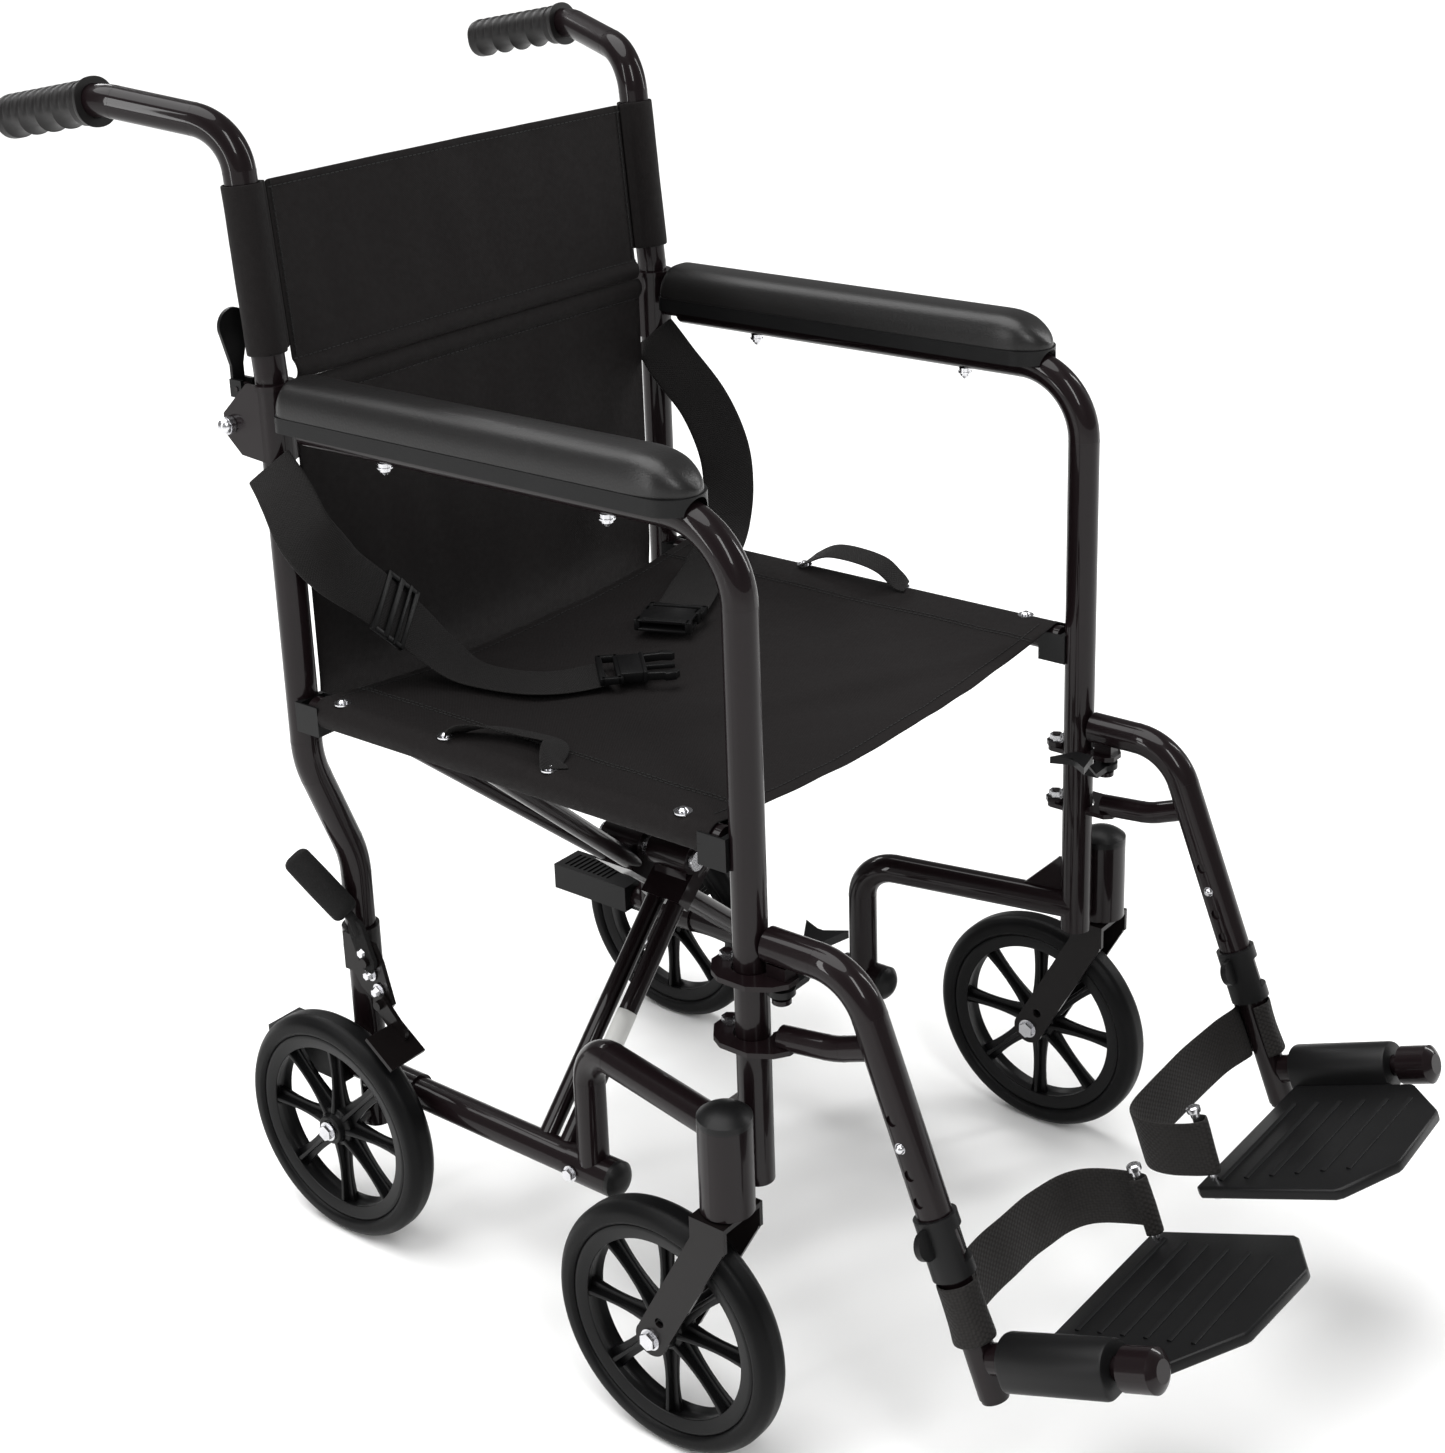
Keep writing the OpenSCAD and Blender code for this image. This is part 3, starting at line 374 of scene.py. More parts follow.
def pathLength(points):
    return float(np.linalg.norm(np.diff(points, axis=0), axis=1).sum())


def strap(name, points, normals, width, columns=9, steps=14, crown=0.0, wave=0.0):   # a flat band
    line = smoothCurve(points, steps)
    up = unit(smoothCurve(normals, steps))
    ahead = unit(np.gradient(line, axis=0))
    side = unit(np.cross(ahead, up))
    up = unit(np.cross(side, ahead))
    t = np.linspace(-0.5, 0.5, columns)
    bow = crown * (1 - (2 * t) ** 2)
    grid = line[:, None] + side[:, None] * (t * width)[None, :, None] + up[:, None] * bow[None, :, None]
    if wave:
        for i in range(len(line)):
            for j in range(columns):
                at = Vector(grid[i, j]) * 22
                grid[i, j] += up[i] * wave * noise.noise(at)
    run = np.r_[0, np.cumsum(np.linalg.norm(np.diff(line, axis=0), axis=1))]
    return surface(name, grid, (t * width, run)), line


def refine(piece, levels=1):
    finer = piece.modifiers.new("finer", "SUBSURF")
    finer.levels = finer.render_levels = levels


def thicken(piece, thickness, offset=0.0, levels=0):
    wall = piece.modifiers.new("wall", "SOLIDIFY")
    wall.thickness, wall.offset = thickness, offset
    if levels:
        refine(piece, levels)
    return piece


def fullTurn(steps):
    return np.linspace(0, 2 * math.pi, steps)


def ringAt(toShared, radius, y, steps):          # a circle about the local Y axis
    return [toShared((radius * math.cos(a), y, radius * math.sin(a))) for a in fullTurn(steps)]


def lathe(name, profile, centre, steps=96):      # profile of (radius, x) points turned about X
    turns = fullTurn(steps + 1)
    loop = np.array(list(profile) + [profile[0]], float)
    grid = np.zeros((len(loop), steps + 1, 3))
    grid[:, :, 0] = loop[:, 1][:, None] + centre[0]
    grid[:, :, 1] = loop[:, 0][:, None] * np.cos(turns) + centre[1]
    grid[:, :, 2] = loop[:, 0][:, None] * np.sin(turns) + centre[2]
    return surface(name, grid, weld=True)


def softLoop(corners, bevel, points=4):          # a closed outline with rounded corners
    out = []
    corners = [np.array(c[:2], float) for c in corners]
    for i, c in enumerate(corners):
        a, b = corners[i - 1], corners[(i + 1) % len(corners)]
        r = min(bevel, 0.45 * np.linalg.norm(a - c), 0.45 * np.linalg.norm(b - c))
        start, end = c + (a - c) / np.linalg.norm(a - c) * r, c + (b - c) / np.linalg.norm(b - c) * r
        for t in np.linspace(0, 1, points):
            out.append((1 - t) ** 2 * start + 2 * t * (1 - t) * c + t * t * end)
    return out


def bevelledBoxes(name, boxes, toShared, bevel=0.0008):   # boxes of (centre, size) in a local frame
    bm = bmesh.new()
    for centre, size in boxes:
        placed = Matrix.Translation(centre) @ Matrix.Diagonal((*size, 1))
        made = bmesh.ops.create_cube(bm, size=1.0, matrix=placed)
        edges = list({e for v in made["verts"] for e in v.link_edges})
        bmesh.ops.bevel(bm, geom=edges, offset=min(bevel, min(size) * 0.45), segments=2, affect="EDGES",
                        profile=0.5)
    for v in bm.verts:
        v.co = toShared(v.co)
    bmesh.ops.recalc_face_normals(bm, faces=bm.faces)
    return meshFrom(bm, name)


def prism(name, outline, low, high, toShared, bevel=0.0012):   # an outline in XY raised from low to high
    bm = bmesh.new()
    ring = [bm.verts.new((x, y, low)) for x, y in outline]
    face = bm.faces.new(ring)
    raised = bmesh.ops.extrude_face_region(bm, geom=[face])
    top = [g for g in raised["geom"] if isinstance(g, bmesh.types.BMVert)]
    bmesh.ops.translate(bm, verts=top, vec=(0, 0, high - low))
    rims = [e for e in bm.edges if abs(e.verts[0].co.z - e.verts[1].co.z) < 1e-7]
    bmesh.ops.bevel(bm, geom=rims, offset=bevel, segments=3, affect="EDGES", profile=0.5)
    for v in bm.verts:
        v.co = toShared(v.co)
    bmesh.ops.recalc_face_normals(bm, faces=bm.faces)
    return meshFrom(bm, name)


def joined(name, meshes):
    bm = bmesh.new()
    for mesh in meshes:
        bm.from_mesh(mesh)
    return meshFrom(bm, name)


# Geometry Nodes helpers

def nodeTree(name, ins):
    tree = bpy.data.node_groups.new(name, "GeometryNodeTree")
    tree.interface.new_socket(name="Geometry", in_out="INPUT", socket_type="NodeSocketGeometry")
    for label, kind, value in ins:
        socket = tree.interface.new_socket(name=label, in_out="INPUT", socket_type=kind)
        if value is not None:
            socket.default_value = value
    tree.interface.new_socket(name="Geometry", in_out="OUTPUT", socket_type="NodeSocketGeometry")
    given, result = tree.nodes.new("NodeGroupInput"), tree.nodes.new("NodeGroupOutput")
    return tree, {s.name: s for s in given.outputs}, result


def endTree(tree, given, result, geometry):
    real = addNode(tree, "GeometryNodeRealizeInstances", {0: geometry})
    dressed = addNode(tree, "GeometryNodeSetMaterial", {0: real.outputs[0], "Material": given["Material"]})
    tree.links.new(dressed.outputs[0], result.inputs[0])
    return tree


def makeSpokeTree():           # spokes about X: a flat web with a rib along it, wider at both ends
    tree, given, result = nodeTree("wheelSpokes", [
        ("Count", "NodeSocketInt", 8), ("Hub", "NodeSocketFloat", 0.015), ("Rim", "NodeSocketFloat", 0.077),
        ("Web Width", "NodeSocketFloat", 0.0150), ("Web Depth", "NodeSocketFloat", 0.004),
        ("Rib Width", "NodeSocketFloat", 0.0036), ("Rib Depth", "NodeSocketFloat", 0.016),
        ("Material", "NodeSocketMaterial", None)])
    start = addNode(tree, "ShaderNodeCombineXYZ", {2: given["Hub"]})
    end = addNode(tree, "ShaderNodeCombineXYZ", {2: given["Rim"]})
    line = addNode(tree, "GeometryNodeCurvePrimitiveLine", {"Start": start.outputs[0], "End": end.outputs[0]})
    fineLine = addNode(tree, "GeometryNodeResampleCurve", {"Curve": line.outputs[0], "Count": 9})
    along = addNode(tree, "GeometryNodeSplineParameter")
    centred = mathNode(tree, "SUBTRACT", along.outputs["Factor"], 0.55)
    flare = mathNode(tree, "MULTIPLY_ADD", mathNode(tree, "MULTIPLY", centred, centred), 1.5, 0.8)
    sized = addNode(tree, "GeometryNodeSetCurveRadius", {0: fineLine.outputs[0], "Radius": flare})
    shapes = []
    for wide, deep in (("Web Depth", "Web Width"), ("Rib Depth", "Rib Width")):
        section = addNode(tree, "GeometryNodeCurvePrimitiveQuadrilateral",
                          {"Width": given[wide], "Height": given[deep]})
        rounded = addNode(tree, "GeometryNodeFilletCurve", {"Curve": section.outputs[0], "Radius": 0.0008},
                          mode="POLY")
        rounded.inputs["Count"].default_value = 2
        bar = addNode(tree, "GeometryNodeCurveToMesh", {"Curve": sized.outputs[0],
                                                        "Profile Curve": rounded.outputs[0]})
        if "Scale" in bar.inputs:
            tree.links.new(addNode(tree, "GeometryNodeInputRadius").outputs[0], bar.inputs["Scale"])
        shapes.append(bar)
    spoke = addNode(tree, "GeometryNodeJoinGeometry")
    for shape in shapes:
        tree.links.new(shape.outputs[0], spoke.inputs[0])
    points = addNode(tree, "GeometryNodePoints", {"Count": given["Count"]})
    many = addNode(tree, "GeometryNodeInstanceOnPoints", {"Points": points.outputs[0],
                                                          "Instance": spoke.outputs[0]})
    number = addNode(tree, "GeometryNodeInputIndex")
    angle = mathNode(tree, "DIVIDE", mathNode(tree, "MULTIPLY", number.outputs[0], 2 * math.pi),
                     given["Count"])
    turn = addNode(tree, "ShaderNodeCombineXYZ", {0: angle})
    spun = addNode(tree, "GeometryNodeRotateInstances", {"Instances": many.outputs[0],
                                                         "Rotation": turn.outputs[0]})
    return endTree(tree, given, result, spun.outputs[0])


def makeScrewTree():           # a washer and a head on each point, facing along its outward attribute
    tree, given, result = nodeTree("screwHeads", [
        ("Head Radius", "NodeSocketFloat", 0.0045), ("Head Height", "NodeSocketFloat", 0.0028),
        ("Washer Radius", "NodeSocketFloat", 0.0075), ("Sides", "NodeSocketInt", 20),
        ("Crown", "NodeSocketFloat", 0.4), ("Material", "NodeSocketMaterial", None)])
    washer = addNode(tree, "GeometryNodeMeshCylinder", {"Vertices": 28, "Radius": given["Washer Radius"],
                                                        "Depth": 0.0011})
    head = addNode(tree, "GeometryNodeMeshCone", {
        "Vertices": given["Sides"], "Radius Bottom": given["Head Radius"],
        "Radius Top": mathNode(tree, "MULTIPLY", given["Head Radius"], given["Crown"]),
        "Depth": given["Head Height"]})
    collar = addNode(tree, "GeometryNodeMeshCylinder", {"Vertices": given["Sides"],
                                                        "Radius": given["Head Radius"],
                                                        "Depth": given["Head Height"]})
    lift = addNode(tree, "ShaderNodeCombineXYZ", {2: given["Head Height"]})
    half = addNode(tree, "ShaderNodeCombineXYZ", {2: mathNode(tree, "MULTIPLY", given["Head Height"], 0.5)})
    raisedHead = addNode(tree, "GeometryNodeTransform", {0: head.outputs[0], "Translation": lift.outputs[0]})
    raisedCollar = addNode(tree, "GeometryNodeTransform", {0: collar.outputs[0],
                                                           "Translation": half.outputs[0]})
    whole = addNode(tree, "GeometryNodeJoinGeometry")
    for part in (washer, raisedHead, raisedCollar):
        tree.links.new(part.outputs[0], whole.inputs[0])
    facing = addNode(tree, "GeometryNodeInputNamedAttribute", {"Name": "outward"}, data_type="FLOAT_VECTOR")
    turned = addNode(tree, "FunctionNodeAlignRotationToVector", {"Vector": facing.outputs[0]}, axis="Z")
    many = addNode(tree, "GeometryNodeInstanceOnPoints", {"Points": given["Geometry"],
                                                          "Instance": whole.outputs[0],
                                                          "Rotation": turned.outputs[0]})
    return endTree(tree, given, result, many.outputs[0])


def makeStitchTree():          # short stitches along every polyline
    tree, given, result = nodeTree("stitchRows", [
        ("Length", "NodeSocketFloat", 0.0036), ("Gap", "NodeSocketFloat", 0.0014),
        ("Radius", "NodeSocketFloat", 0.00045), ("Material", "NodeSocketMaterial", None)])
    line = addNode(tree, "GeometryNodeMeshToCurve", {0: given["Geometry"]})
    pitch = mathNode(tree, "ADD", given["Length"], given["Gap"])
    spots = addNode(tree, "GeometryNodeCurveToPoints", {"Curve": line.outputs[0], "Length": pitch},
                    mode="LENGTH")
    capsule = addNode(tree, "GeometryNodeMeshCylinder", {"Vertices": 6, "Radius": given["Radius"],
                                                         "Depth": given["Length"]})
    turned = addNode(tree, "FunctionNodeAlignRotationToVector", {"Vector": spots.outputs["Tangent"]},
                     axis="Z")
    many = addNode(tree, "GeometryNodeInstanceOnPoints", {"Points": spots.outputs[0],
                                                          "Instance": capsule.outputs[0],
                                                          "Rotation": turned.outputs[0]})
    return endTree(tree, given, result, many.outputs[0])


def makeRidgeTree():           # a row of raised bars, one on each edge of the base mesh
    tree, given, result = nodeTree("raisedLines", [
        ("Width", "NodeSocketFloat", 0.0036), ("Height", "NodeSocketFloat", 0.0018),
        ("Material", "NodeSocketMaterial", None)])
    line = addNode(tree, "GeometryNodeMeshToCurve", {0: given["Geometry"]})
    section = addNode(tree, "GeometryNodeCurvePrimitiveQuadrilateral", {"Width": given["Width"],
                                                                       "Height": given["Height"]})
    rounded = addNode(tree, "GeometryNodeFilletCurve", {"Curve": section.outputs[0], "Radius": 0.0007},
                      mode="POLY")
    rounded.inputs["Count"].default_value = 2
    bars = addNode(tree, "GeometryNodeCurveToMesh", {"Curve": line.outputs[0],
                                                     "Profile Curve": rounded.outputs[0],
                                                     "Fill Caps": True})
    return endTree(tree, given, result, bars.outputs[0])


trees = {"spokes": makeSpokeTree(), "screws": makeScrewTree(), "stitches": makeStitchTree(),
         "ridges": makeRidgeTree()}


def grown(name, base, treeName, look, values=None):   # runs a node tree on a base mesh, gives a plain mesh
    holder = bpy.data.objects.new(name + "Base", base)
    bpy.context.scene.collection.objects.link(holder)
    modifier = holder.modifiers.new("grow", "NODES")
    modifier.node_group = trees[treeName]
    for item in trees[treeName].interface.items_tree:
        if item.in_out == "INPUT" and item.name != "Geometry":
            value = looks[look] if item.name == "Material" else (values or {}).get(item.name)
            if value is not None:
                modifier[item.identifier] = value
    graph = bpy.context.evaluated_depsgraph_get()
    mesh = bpy.data.meshes.new_from_object(holder.evaluated_get(graph))
    mesh.name = name
    bpy.data.objects.remove(holder)
    return mesh


def pointsMesh(name, points, outward):
    mesh = bpy.data.meshes.new(name)
    mesh.from_pydata([tuple(p) for p in points], [], [])
    facing = mesh.attributes.new("outward", "FLOAT_VECTOR", "POINT")
    facing.data.foreach_set("vector", np.array(outward, np.float32).reshape(-1))
    return mesh


def linesMesh(name, lines):
    points, edges = [], []
    for line in lines:
        first = len(points)
        points += [tuple(p) for p in line]
        edges += [(first + i, first + i + 1) for i in range(len(line) - 1)]
    mesh = bpy.data.meshes.new(name)
    mesh.from_pydata(points, edges, [])
    return mesh


def screws(name, points, outward, body, look="zincPlate", **values):
    mesh = grown(name, pointsMesh(name, points, outward), "screws", look, values)
    return finishMesh(name, mesh, look, body, smooth=30)


def stitches(name, lines, body, **values):
    mesh = grown(name, linesMesh(name, lines), "stitches", "threadBlack", values)
    return finishMesh(name, mesh, "threadBlack", body)


for node, thing in frame["nodes"].items():      # every CAD node that stays gets its finish
    slotName = next((s["material_slot"] for s in frame["record"]["subparts"] if s["node"] == node), None)
    for materialSlot in thing.material_slots:
        materialSlot.material = looks[slotLooks[slotName]]
print("CAD nodes dressed:", len(frame["nodes"]))

# Camera, floor and lights

view = {"at": (-1.35769, -1.06345, 1.21229), "turn": -0.903399, "rise": 0.326826, "roll": -0.0303831,
        "lens": 58.14, "shift": (-0.0162, -0.1383)}
turn, rise, roll = view["turn"], view["rise"], view["roll"]
backward = Vector((math.sin(turn) * math.cos(rise), -math.cos(turn) * math.cos(rise), math.sin(rise)))
levelRight = Vector((0, 0, 1)).cross(backward).normalized()
levelUp = backward.cross(levelRight)
right = levelRight * math.cos(roll) + levelUp * math.sin(roll)
up = levelUp * math.cos(roll) - levelRight * math.sin(roll)
camera = bpy.data.objects.new("camera", bpy.data.cameras.new("camera"))
camera.matrix_world = Matrix((right, up, backward)).transposed().to_4x4()
camera.location = view["at"]
camera.data.sensor_width = 36.0
camera.data.lens = view["lens"]
camera.data.shift_x, camera.data.shift_y = view["shift"]
bpy.context.scene.collection.objects.link(camera)
bpy.context.scene.camera = camera

reach = 40.0                   # the floor's half size in metres
floorMesh = bpy.data.meshes.new("floor")
floorMesh.from_pydata([(-reach, -reach, 0), (reach, -reach, 0), (reach, reach, 0), (-reach, reach, 0)], [],
                      [(0, 1, 2, 3)])
floorMesh.materials.append(looks["paleFloor"])
floor = bpy.data.objects.new("floor", floorMesh)
bpy.context.scene.collection.objects.link(floor)
floor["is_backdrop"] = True

lamps = {   # place, point it faces, size, power
    "keyLight": ((-1.7, -2.4, 3.0), (0, 0, 0.45), (0.6, 2.0), 52),
    "sideLight": ((-3.0, 0.9, 1.5), (0, 0, 0.5), (0.32, 2.4), 30),
    "farLight": ((2.8, -1.5, 2.0), (0, 0, 0.5), (0.32, 2.4), 38),
    "backLight": ((0.8, 3.0, 2.4), (0, 0, 0.6), (1.8, 0.5), 28),
}
for name, (at, target, size, power) in lamps.items():
    lamp = bpy.data.lights.new(name, "AREA")
    lamp.shape, lamp.size, lamp.size_y, lamp.energy = "RECTANGLE", size[0], size[1], power
    holder = bpy.data.objects.new(name, lamp)
    holder.location = at
    holder.rotation_euler = (Vector(target) - Vector(at)).to_track_quat("-Z", "Y").to_euler()
    bpy.context.scene.collection.objects.link(holder)
overhead = bpy.data.lights.new("overheadLight", "SUN")     # a soft top light over the whole floor
overhead.energy, overhead.angle = 3.7, math.radians(60)
holder = bpy.data.objects.new("overheadLight", overhead)
holder.rotation_euler = (math.radians(-12), math.radians(-10), 0)
bpy.context.scene.collection.objects.link(holder)
world = bpy.data.worlds.new("studio")
world.use_nodes = True
world.node_tree.nodes["Background"].inputs[0].default_value = (1.0, 1.0, 1.0, 1.0)
world.node_tree.nodes["Background"].inputs[1].default_value = 0.24
bpy.context.scene.world = world
bpy.context.scene.view_settings.view_transform = "Standard"
print("camera and lights set")

# Wheels and tyres

wheel = {"radius": 0.1016, "rimR": 0.0846, "spokes": 8, "hubR": 0.017, "hubWidth": 0.030}


def makeWheel(side, end):
    low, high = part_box(f"{side}_{end}_tyre")
    centre = [(a + b) / 2 for a, b in zip(low, high)]
    r, rimR, hub = wheel["radius"], wheel["rimR"], wheel["hubR"]
    half = (high[0] - low[0]) / 2
    ring = softLoop([(rimR - 0.0122, -0.0092), (rimR - 0.002, -0.0112), (rimR + 0.0005, -0.0104),
                     (rimR + 0.0005, 0.0104), (rimR - 0.002, 0.0112), (rimR - 0.0122, 0.0092),
                     (rimR - 0.0092, 0.0022), (rimR - 0.0092, -0.0022)], 0.0016)
    hubHalf = wheel["hubWidth"] / 2
    barrel = softLoop([(0.0053, -hubHalf + 0.002), (0.0095, -hubHalf), (0.0125, -hubHalf),
                       (0.0135, -0.0085), (hub + 0.0005, -0.0072), (hub + 0.0005, 0.0072), (0.0135, 0.0085),
                       (0.0125, hubHalf), (0.0095, hubHalf), (0.0053, hubHalf - 0.002)], 0.0012)
    spokes = grown("spokes", bpy.data.meshes.new("none"), "spokes", "wheelPlastic",
                   {"Count": wheel["spokes"], "Hub": hub - 0.003, "Rim": rimR - 0.0075})
    spokes.transform(Matrix.Translation(centre))
    body = f"{side}_{end}_wheel"
    mesh = joined(body + "_rim", [lathe("ring", ring, centre), lathe("barrel", barrel, centre, 48), spokes])
    finishMesh(body + "_rim", mesh, "wheelPlastic", body, [body], smooth=32)
    section = softLoop([(rimR, -0.0103), (rimR + 0.0025, -half), (r - 0.0062, -half),
                        (r - 0.0012, -half + 0.0055),
                        (r, -0.005), (r, 0.005), (r - 0.0012, half - 0.0055), (r - 0.0062, half),
                        (rimR + 0.0025, half), (rimR, 0.0103)], 0.003)
    finishMesh(f"{side}_{end}_tyre_skin", lathe("tyre", section, centre, 128), "tyreRubber", body,
               [f"{side}_{end}_tyre"], smooth=40)


for side in sides:
    for end in ("front", "rear"):
        makeWheel(side, end)
print("wheels made")

# Arm pads

armPad = {"halfWidth": 0.0245, "seamZ": 0.737, "topZ": 0.7640, "front": -0.192, "rear": 0.199,
          "frontRound": 0.034, "rearRound": 0.014, "rearSquare": 0.65, "screwY": (-0.111, 0.105),
          "screwZ": 0.7065}


def makeArmPad(side, k):
    p = armPad
    stations = np.r_[np.linspace(0, 0.05, 14), np.linspace(0.06, 0.94, 30), np.linspace(0.95, 1, 12)]
    rows = []
    length = p["rear"] - p["front"]
    for t in stations:
        y = p["front"] + t * length
        toFront, toRear = y - p["front"], p["rear"] - y
        w = 1.0
        if toFront < p["frontRound"]:
            w = math.sqrt(max(0.0, 1 - (1 - toFront / p["frontRound"]) ** 2))
        if toRear < p["rearRound"]:
            w = min(w, math.sqrt(max(0.0, 1 - (1 - toRear / p["rearRound"]) ** 2))
                    * (1 - p["rearSquare"]) + p["rearSquare"])
        w = max(w, 0.04)
        crown = min(1.0, (toFront / 0.030)) ** 0.5 * min(1.0, toRear / 0.012 + 0.25) ** 0.5
        ring = []
        for a in fullTurn(41):
            c, s = math.cos(a), math.sin(a)
            x = p["halfWidth"] * w * math.copysign(abs(c) ** 0.62, c)
            rise = (p["topZ"] - p["seamZ"]) * max(crown, 0.15)
            z = p["seamZ"] + (rise * s ** 0.8 if s > 0 else -0.0012 * abs(s) ** 0.5)
            ring.append(place(k * (chair["postX"] + x), y, z))
        rows.append(ring)
    mesh = surface("pad", np.array(rows), weld=True, fill=True)
    pad = finishMesh(f"{side}_arm_pad_vinyl", mesh, "padVinyl", f"{side}_side", [f"{side}_arm_pad"],
                     smooth=60)
    refine(pad)


for side, k in sides.items():
    makeArmPad(side, k)
    screws(f"{side}_arm_screws", [place(k * chair["postX"], y, armPad["screwZ"]) for y in armPad["screwY"]],
           [(0, 0, -1)] * 2, f"{side}_side", **{"Head Radius": 0.004, "Washer Radius": 0.0058})
print("arm pads made")

# Push grips

grip = {"front": -0.008, "rear": 0.1045, "radius": 0.0163, "ribPitch": 0.0052, "ribDepth": 0.0007,
        "scallops": 4, "scallopPitch": 0.022, "scallopDepth": 0.0036, "scallopStart": 0.004,
        "square": 2.6, "belly": 0.0014, "lip": 0.006, "lipRise": 0.0022, "boreR": 0.0130}


def makeGrip(side, k):
    p, toShared = grip, gripFrame(k)
    body = np.linspace(p["front"], p["rear"], 230)
    rows = []
    for y in body:
        ring = []
        for a in fullTurn(57):
            c, s = math.cos(a), math.sin(a)
            squareness = (abs(c) ** p["square"] + abs(s) ** p["square"]) ** (-1 / p["square"])
            r = p["radius"] * (0.5 + 0.5 * squareness)
            if s < 0:
                r += p["belly"] * -s
            inner = p["front"] + 0.010 < y < p["rear"] - 0.008
            if inner and s > -0.15:
                fade = min(1, (s + 0.15) * 2)
                rib = math.sin(math.pi * y / p["ribPitch"])
                r += p["ribDepth"] * fade * math.copysign(abs(rib) ** 0.5, rib)
            start = p["scallopStart"]
            if s < -0.1 and start < y < start + p["scallops"] * p["scallopPitch"]:
                wave = abs(math.sin(math.pi * (y - start) / p["scallopPitch"])) ** 0.8
                r -= p["scallopDepth"] * wave * min(1, (-s - 0.1) * 1.8)
            if y < p["front"] + p["lip"]:
                r += p["lipRise"] * math.sin(math.pi * min(1, (y - p["front"]) / p["lip"] * 0.5 + 0.5))
            toEnd = p["rear"] - y
            if toEnd < 0.006:
                r *= math.sqrt(max(0.02, 1 - (1 - toEnd / 0.006) ** 2)) * 0.35 + 0.65
            ring.append(toShared((r * c, y, r * s)))
        rows.append(ring)
    collar = ringAt(toShared, p["boreR"], p["front"], 57)
    inside = ringAt(toShared, p["boreR"], p["front"] + p["lip"], 57)
    end = ringAt(toShared, 0.009, p["rear"] + 0.0006, 57)
    mesh = surface("grip", np.array([inside, collar] + rows + [end]), weld=True, fill=True)
    finishMesh(f"{side}_grip_rubber", mesh, "gripRubber", f"{side}_back", [f"{side}_push_grip"], smooth=50)


for side, k in sides.items():
    makeGrip(side, k)
print("push grips made")

# Seat sling

seat = {"front": -0.200, "rear": 0.195, "sag": 0.0135, "lift": 0.0127, "wrap": -35.0,
        "wrinkle": 0.0021, "thickness": 0.0018, "endDip": 0.0012, "stitchLift": 0.0013,
        "screwY": (-0.170, -0.045, 0.060, 0.172), "screwX": 0.2275, "screwZ": 0.5036}


def seatHeight(x):             # the taut cloth hangs a little between the rails
    share = min(1.0, abs(x) / chair["railX"])
    return chair["railZ"] + seat["lift"] - seat["sag"] * (1 - share ** 2.4)


def seatPoint(x, y):
    z = seatHeight(x)
    slack = 1 - (abs(x) / chair["railX"]) ** 4
    z += seat["wrinkle"] * slack * (noise.noise(Vector((x * 9, y * 26, 0.3)))
                                    + 0.6 * noise.noise(Vector((x * 30 + y * 22, y * 14, 4.0))))
    endDip = max(0, 1 - (y - seat["front"]) / 0.02) + max(0, 1 - (seat["rear"] - y) / 0.02)
    return place(x, y, z - seat["endDip"] * endDip * slack)


def makeSeat():
    rows = []
    angles = np.radians(np.linspace(seat["wrap"], 88, 12))
    inner = np.linspace(1, -1, 61) * (chair["railX"] - 0.001)
    r = chair["railR"] + 0.0017
    for y in np.linspace(seat["front"], seat["rear"], 66):
        row = [place(chair["railX"] + r * math.cos(a), y, chair["railZ"] + r * math.sin(a)) for a in angles]
        row += [seatPoint(x, y) for x in inner]
        row += [place(-chair["railX"] - r * math.cos(a), y, chair["railZ"] + r * math.sin(a))
                for a in angles[::-1]]
        rows.append(row)
    grid = np.array(rows)
    width = pathLength(grid[33])
    piece = finishMesh("seat_cloth", surface("seat", grid), "nylonCloth", "seat", ["seat_sling"], smooth=60)
    thicken(piece, seat["thickness"], 0.0, 1)
    return piece


def foldWithSeat(piece):       # gives the piece its own copy of its mesh
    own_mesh(piece)


seatCloth = makeSeat()
seams = []
stitchLift = (0, 0, seat["stitchLift"])
for k in (-1, 1):
    for inset in (0.034, 0.038):
        x = k * (chair["railX"] - inset)
        seams.append([seatPoint(x, y) + stitchLift for y in np.linspace(-0.196, 0.191, 60)])
for y in (seat["front"] + 0.011, seat["rear"] - 0.011):
    seams.append([seatPoint(x, y) + stitchLift for x in np.linspace(-0.215, 0.215, 70)])
seatStitches = stitches("seat_stitching", seams, "seat")
seatScrews = screws("seat_screws", [place(k * seat["screwX"], y, seat["screwZ"]) for k in (-1, 1)
                                    for y in seat["screwY"]], [(0, 0, 1)] * 8, "seat",
                    **{"Head Radius": 0.0040, "Head Height": 0.0016, "Washer Radius": 0.0068, "Crown": 0.55})

